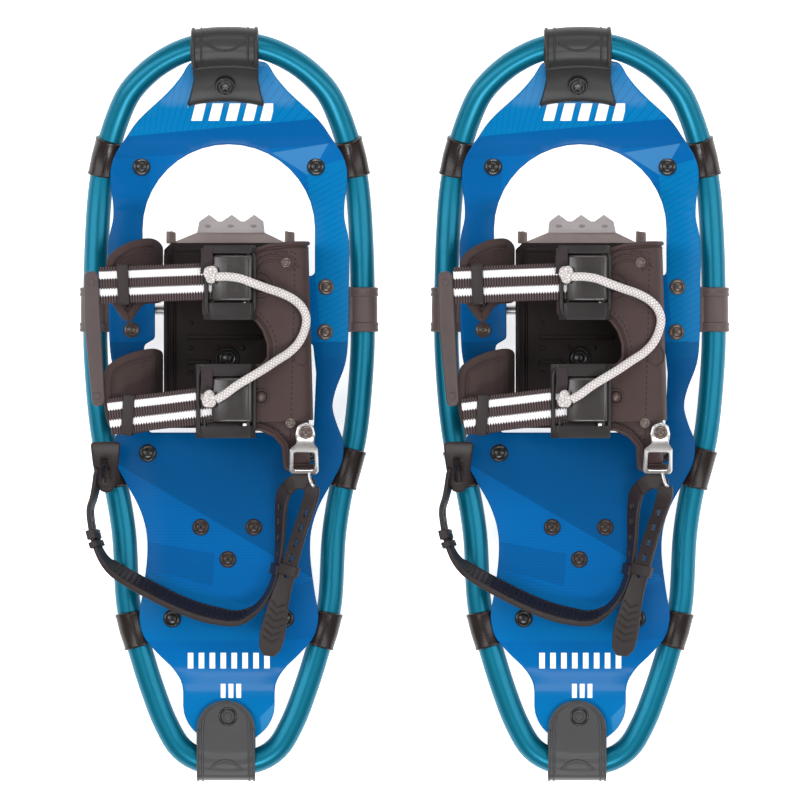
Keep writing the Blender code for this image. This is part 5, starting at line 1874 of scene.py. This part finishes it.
@dataclass
class Straps:
    """The two ribbed webbing tails and the grey handle that joins them."""

    bench: Bench
    width: float = 23.2
    thickness: float = 1.3
    pitch: float = 1.72
    # Each tail: its name, its line and the middle of the fuzzy end that shows left of its lever.
    tails: tuple = (
        (
            "front_webbing",
            ((12, 78.6, 62.7), (-14, 77.9, 62.7), (-24, 77.5, 62.4), (-42, 76.9, 59.2), (-63, 76.1, 54.4),
             (-81.4, 75.4, 52)),
            90.5,
        ),
        (
            "rear_webbing",
            ((12, 2, 62.7), (-14, -0.9, 62.7), (-24, -2.1, 62.4), (-42, -4.3, 59.2), (-63, -6.7, 54.4),
             (-75.4, -8.2, 52.4)),
            14.5,
        ),
    )
    fold_width: float = 7.4
    # The webbing's section, as shares of its half width and half thickness.
    section: tuple = (
        (-1, 0), (-0.97, -0.8), (-0.5, -1), (0.5, -1), (0.97, -0.8), (1, 0), (0.97, 0.8), (0.5, 1),
        (-0.5, 1), (-0.97, 0.8),
    )
    handle: tuple = ((-91.4, 84.4), (-82.4, 84.8), (-81, 60), (-77.8, -0.9), (-85.8, -1.9), (-91, 50))
    handle_span: tuple = (50.2, 54.8)
    # Each keeper's x, y and turn in degrees; all have the same width.
    keepers: tuple = ((-66, 76.2, 2.0), (-63, -6.8, -4.0))
    keeper_width: float = 7.6
    keeper_slope: tuple = ((-82, 52), (-63, 54.4), (-42, 59.2))

    def build(self) -> None:
        """Builds the webbing, its keepers and the handle."""
        for name, line, fold in self.tails:
            self.bench.add(f"{name}_band", self.band(line, self.width), "strap_pull", "webbing", [name])
            self.bench.add(f"{name}_end", self.fold(fold), "binding", "tape_dark")
        loops = [self.keeper(*place) for place in self.keepers]
        self.bench.add("webbing_keepers", merged(loops), "strap_pull", "rubber_dark")
        low, high = self.handle_span
        cuts = [(1, y) for y in steps(-2, 85, 6)]
        mesh = panel(rounded(self.handle, 5.0, 6), round_rim(high - low, 1.6, 4), cuts=cuts)
        self.bench.add("handle_bar", shifted(mesh, z=low), "strap_pull", "handle_grey", ["pull_handle"])
        places = [(Vector((x, y, high)), UP) for x, y in ((-86.6, 77.5), (-82.6, 5.4))]
        self.bench.studs("handle_dots", StudKind.DOT, places, "strap_pull", "handle_grey", 2.4, 0.8)

    def band(self, line: Points, width: float) -> bpy.types.Mesh:
        """Webbing whose edges and faces rise with each rib."""
        path = curve(line, 12)
        count = int(lengths(path)[-1] / (self.pitch / 4))
        path = even(path, count)
        rings = []
        for point, walked, (_, side, up) in zip(path, lengths(path), frames(path)):
            rib = math.sin(walked * math.tau / self.pitch)
            half, thick = width / 2 + 0.25 * rib, self.thickness / 2 + 0.09 * rib
            rings.append([point + side * half * x + up * thick * z for x, z in self.section])
        return loft(rings, False, True)

    def fold(self, middle: float) -> bpy.types.Mesh:
        """The strap's short fuzzy end that shows left of the lever."""
        stations = [(-13.4, middle - 8, 66.4), (-12.8, middle, 67.6), (-12.8, middle + 8.4, 67.2)]
        return self.band(stations, self.fold_width)

    def keeper(self, x: float, y: float, tilt: float) -> bpy.types.Mesh:
        """A flat loop round the webbing."""
        half, height = self.width / 2 + 1.6, interpolate(self.keeper_slope, x)
        corners = boxed(y - half, y + half, height - 2.4, height + 2.4)
        hole = boxed(y - half + 1.4, y + half - 1.4, height - 1.1, height + 1.1)
        rim = round_rim(self.keeper_width, 0.7)
        mesh = panel(rounded(corners, 1.6), rim, [rounded(hole, 0.6)], shape=upright_x)
        turn = Matrix.Translation((x, y, height)) @ Matrix.Rotation(math.radians(-13), 4, "Y")
        turn = turn @ Matrix.Rotation(math.radians(tilt), 4, "Z")
        turn = turn @ Matrix.Translation((-self.keeper_width / 2, -y, -height))
        return moved(mesh, turn)


@dataclass
class HeelStrap:
    """The rubber heel strap, its shackle, its tail and the tongue that it hangs from."""

    bench: Bench
    around: tuple = (
        (-81.6, -40, 26, 60, 12, 2.2), (-84, -50, 21, 74, 13, 2.4),
        (-86.4, -60.5, 19, 80, 14, 2.6), (-88.3, -67, 19, 80, 14, 2.6), (-87.4, -78, 20, 80, 14, 2.6),
        (-84.6, -89, 21, 78, 14, 2.6), (-79.4, -99.5, 22, 74, 15, 3), (-72, -106.4, 22, 68, 18, 3.6),
        (-50, -119.2, 22, 66, 19, 3.8), (-26, -130.4, 22, 66, 19, 3.8), (-8, -135.6, 22, 66, 19, 3.8),
        (7, -137, 22, 68, 17, 3.2), (18.4, -130.4, 22, 74, 13, 2.6), (26.4, -120.4, 22, 76, 12.6, 2.6),
        (31, -107.5, 22, 74, 12, 2.6), (33, -90, 23, 68, 12, 2.6), (33.6, -70, 24, 58, 11.6, 2.6),
        (34.8, -59.4, 28, 44, 11, 2.6), (38, -53, 31.6, 26, 10.4, 2.4),
    )
    turn: tuple = (
        (37.2, -54.6, 31, 30, 10.4, 2.2), (41.8, -50.4, 34.4, 16, 10, 2.2), (47.8, -49.2, 37.4, 0, 9.8, 2.2),
        (54.2, -53.4, 39.6, -33, 10.4, 2.2),
    )
    tail: tuple = (
        (54.4, -52, 40.4, -30, 10.4, 2.4), (53.1, -59.4, 39.8, -38, 11.4, 2.6),
        (49.4, -71, 37, -44, 11.6, 2.6),
        (45, -84, 35, -44, 11.6, 2.6), (41, -98, 34, -42, 11.6, 2.6), (37.6, -110, 34, -36, 11.6, 2.6),
        (34, -122, 33, -26, 12.4, 2.6), (31, -134, 32, -16, 14.6, 3), (28.4, -147, 31, -10, 16.4, 3.4),
        (26.4, -158, 31, -8, 13, 3), (26, -161, 31, -8, 8, 2.6),
    )
    shackle: tuple = (
        (50, -11.4), (44.6, -13.6), (43.2, -19), (44.4, -25), (39.6, -28.5), (39, -43), (41, -44.8),
        (56.4, -44.8), (58, -43), (57.6, -28.5), (55, -25), (56, -19), (54.8, -13.6),
    )
    window: tuple = ((42, -31), (55.2, -31), (55.2, -41.8), (42, -41.8))
    eye: tuple = (50.0, -18.0)
    tongue: tuple = (
        (-88, -24), (-68.4, -24), (-70, -38), (-71.6, -50), (-74, -55.4), (-78, -57), (-82, -55.6),
        (-84.6, -50), (-86.6, -38),
    )
    slot: tuple = ((-81.4, -34), (-75.4, -34), (-76, -50), (-80.6, -50))
    prong: tuple = ((51.8, -44.2, 42.0), (52.4, -47.6, 42.8), (53.6, -51.4, 43.4), (54.8, -52.4, 42.4))
    hole_pitch: float = 9.6

    def build(self) -> None:
        """Builds the strap with its holes, ribs and keepers, then the shackle and the tongue."""
        ring, turn, tail = Strip(self.around), Strip(self.turn), Strip(self.tail)
        rim = ((0.5, 0), (0.12, 0.14), (0, 0.35), (0, 0.65), (0.12, 0.86), (0.5, 1.0))
        holes = [slot_outline(4.8, 2.9, (s, 0)) for s in steps(8, tail.length - 44, self.hole_pitch)]
        marks = steps(ring.length - 66, ring.length - 4, self.hole_pitch)
        eyelets = [slot_outline(4.8, 2.9, (s, 0)) for s in marks]
        eyelets += [slot_outline(4.0, 2.6, (s, 0)) for s in steps(24, 48, 8)]
        pieces = [
            panel(ring.outline(), rim, eyelets, ring.cuts(), ring.shape),
            panel(turn.outline(2.0), rim, cuts=turn.cuts(), shape=turn.shape),
            panel(tail.outline(), rim, holes, tail.cuts(), tail.shape),
        ]
        self.bench.add("heel_strap_band", merged(pieces), "heel", "rubber_dark", ["heel_strap"])
        self.ribs(ring)
        self.trim(ring, tail)
        self.metal()
        self.hanger()

    def ribs(self, ring: Strip) -> None:
        """Ribs across the padded stretch behind the heel."""
        line = []
        for s in steps(72, 166, 2.0):
            place, _, _, through, _, thickness = ring.at(s)
            line.append((place + through * thickness * 0.5, through))
        sizes = (3.3, 1.3, 14.0, 2.4)
        self.bench.row("heel_pad_ribs", RowShape.RIB, line, "heel", "rubber_dark", sizes)
        edges = []
        for sign in (-1, 1):
            edge = []
            for s in steps(66, 172, 3.0):
                place, _, across, through, width, thickness = ring.at(s)
                edge.append(place + across * sign * (width / 2 - 0.9) + through * thickness * 0.3)
            edges.append(rod(edge, 1.2))
        self.bench.add("heel_pad_edges", merged(edges), "heel", "rubber_dark")

    def band(self, strip: Strip, s: float, width: float, gap: float = 0.9) -> bpy.types.Mesh:
        """A keeper: a flat loop round the strap at a distance along it."""
        place, tangent, across, through, strap_width, thickness = strip.at(s)
        half_wide, half_thick = strap_width / 2 + gap + 1.0, thickness / 2 + gap + 0.9
        end, rings = width / 2, []
        corners = boxed(-half_wide, half_wide, -half_thick, half_thick)
        for distance, shrink in ((-end, 0.35), (-end + 0.4, 0), (end - 0.4, 0), (end, 0.35)):
            loop = inset(rounded(corners, 1.6), shrink)
            rings.append([place + tangent * distance + across * p.x + through * p.y for p in loop])
        return loft(rings)

    def trim(self, ring: Strip, tail: Strip) -> None:
        """The keepers, the knob on one of them, and the tail's grip."""
        bands = [self.band(ring, s, width) for s, width in ((46, 6), (52.5, 4), (201, 7))]
        bands.append(self.band(tail, 57, 7, 0.6))
        self.bench.add("heel_keepers", merged(bands), "heel", "rubber_dark")
        place, _, across, through, _, _ = ring.at(48)
        knob = [(place + through * 2.4, through)]
        self.bench.studs("heel_knob", StudKind.BUTTON, knob, "heel", "rubber_dark", 3.2, 1.6)
        arrows = []
        for s in steps(tail.length - 38, tail.length - 6, 4.4):
            place, tangent, across, through, width, thickness = tail.at(s)
            for sign in (-1, 1):
                near = place + through * thickness * 0.5 + tangent * 1.6
                far = place + across * sign * width * 0.34 + through * thickness * 0.5 - tangent * 1.4
                arrows.append(rod([near.lerp(far, k / 4) for k in range(5)], 0.6))
        self.bench.add("heel_grip", merged(arrows), "heel", "rubber_dark")

    def sloped(self, point: Vector) -> Vector:
        """Raises a point of the flat shackle to its place."""
        return Vector((point.x, point.y, point.z + 61.8 - 24 * smoothstep(-20, -50, point.y)))

    def metal(self) -> None:
        """The steel shackle, its rivet and the strap's prong."""
        holes = [rounded(self.window, 1.6), circle(2.4, 20, self.eye)]
        cuts = [(1, y) for y in steps(-44, -12, 2.0)]
        outline = rounded(self.shackle, 2.6, 4)
        mesh = panel(outline, round_rim(2.4, 0.9, 3), holes, cuts, self.sloped)
        self.bench.add("shackle_link", mesh, "heel", "shackle_bright", ["heel_shackle"])
        place = [(Vector((*self.eye, 64.0)), UP)]
        self.bench.studs("shackle_rivet", StudKind.RIVET, place, "heel", "rivet_bronze", 4.4, 1.6)
        prong = rod([Vector(p) for p in self.prong], 1.1)
        self.bench.add("shackle_prong", prong, "heel", "shackle_bright")

    def hung(self, point: Vector) -> Vector:
        """Raises a point of the flat tongue to its place."""
        return Vector((point.x, point.y, point.z + 33 - 19 * smoothstep(-22, -66, point.y)))

    def hanger(self) -> None:
        """The slotted tongue on the left."""
        cuts = [(1, y) for y in steps(-57, -24, 2.4)]
        outline = rounded(self.tongue, 3.0, 4)
        mesh = panel(outline, round_rim(2.6, 1.0), [rounded(self.slot, 2.0)], cuts, self.hung)
        self.bench.add("tongue_band", mesh, "heel", "rubber_dark", ["heel_loop"])


# ---- stage and main ---------------------------------------------------------------------------------------


@dataclass(frozen=True)
class Studio:
    """A pale floor, soft lights and a camera high above the pair, looking straight down."""

    lens: float = 400.0
    sensor: float = 36.0
    view_width: float = 0.5138
    aim: tuple[float, float] = (-0.0029, 0.0026)
    floor_size: float = 14.0
    floor_colour: Colour = (0.93, 0.93, 0.93)
    sky: float = 0.42
    glow: float = 0.72
    # Each light: its place, the size of its sides and its power.
    lights: tuple = (
        ((-1.9, 0.4, 2.2), (0.9, 3.2), 42.0),
        ((1.9, 0.2, 2.2), (0.9, 3.2), 36.0),
        ((0.0, -1.9, 2.7), (1.9, 0.45), 58.0),
        ((0.2, 2.2, 2.5), (2.4, 0.7), 30.0),
    )

    def build(self) -> None:
        """Makes the floor, the lights, the world and the camera."""
        scene = bpy.context.scene
        scene.view_settings.view_transform = "Standard"
        bm = bmesh.new()
        bmesh.ops.create_grid(bm, x_segments=1, y_segments=1, size=self.floor_size / 2)
        mesh = bpy.data.meshes.new("floor")
        bm.to_mesh(mesh)
        bm.free()
        floor = bpy.data.objects.new("floor", mesh)
        paint = Paint("floor_pale", 0.9, 0.0, 0.0)
        cloud = paint.noise(400.0, 1.0)
        low = tuple(c * 0.995 for c in self.floor_colour)
        paint.colour(paint.mix(low, self.floor_colour, cloud))
        paint.shader.inputs["Emission Color"].default_value = (1, 1, 1, 1)
        paint.shader.inputs["Emission Strength"].default_value = self.glow
        mesh.materials.append(paint.material)
        scene.collection.objects.link(floor)
        for index, (place, (wide, long), power) in enumerate(self.lights):
            data = bpy.data.lights.new(f"soft_{index}", "AREA")
            data.shape, data.size, data.size_y, data.energy = "RECTANGLE", wide, long, power
            lamp = bpy.data.objects.new(data.name, data)
            lamp.location = place
            lamp.rotation_euler = (Vector() - Vector(place)).to_track_quat("-Z", "Y").to_euler()
            scene.collection.objects.link(lamp)
        world = bpy.data.worlds.new("studio")
        world.use_nodes = True
        world.node_tree.nodes["Background"].inputs["Color"].default_value = (1, 1, 1, 1)
        world.node_tree.nodes["Background"].inputs["Strength"].default_value = self.sky
        scene.world = world
        data = bpy.data.cameras.new("camera")
        data.lens, data.sensor_width = self.lens, self.sensor
        camera = bpy.data.objects.new("camera", data)
        height = self.view_width * self.lens / self.sensor + TUBE_LEVEL * MM
        camera.location = (*self.aim, height)
        scene.collection.objects.link(camera)
        scene.camera = camera


ASSEMBLIES = (
    PullCord, TubeFrame, Deck, EndCaps, Clamps, Crampons, Footbed, Wing, Flaps, Buckles, Straps, HeelStrap,
)


def main() -> None:
    """Builds the looks of both shoes round the frame."""
    logging.basicConfig(level=logging.INFO, format="%(name)s: %(message)s")
    for thing in list(bpy.data.objects):
        bpy.data.objects.remove(thing)
    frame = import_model()
    Studio().build()
    bench = Bench(frame, Palette())
    for kind in ASSEMBLIES:
        assembly = kind(bench)
        assembly.build()
        LOG.info("%s built", kind.__name__)
    LOG.info("%d pieces", len(bench.made))


if __name__ == "__main__":
    main()
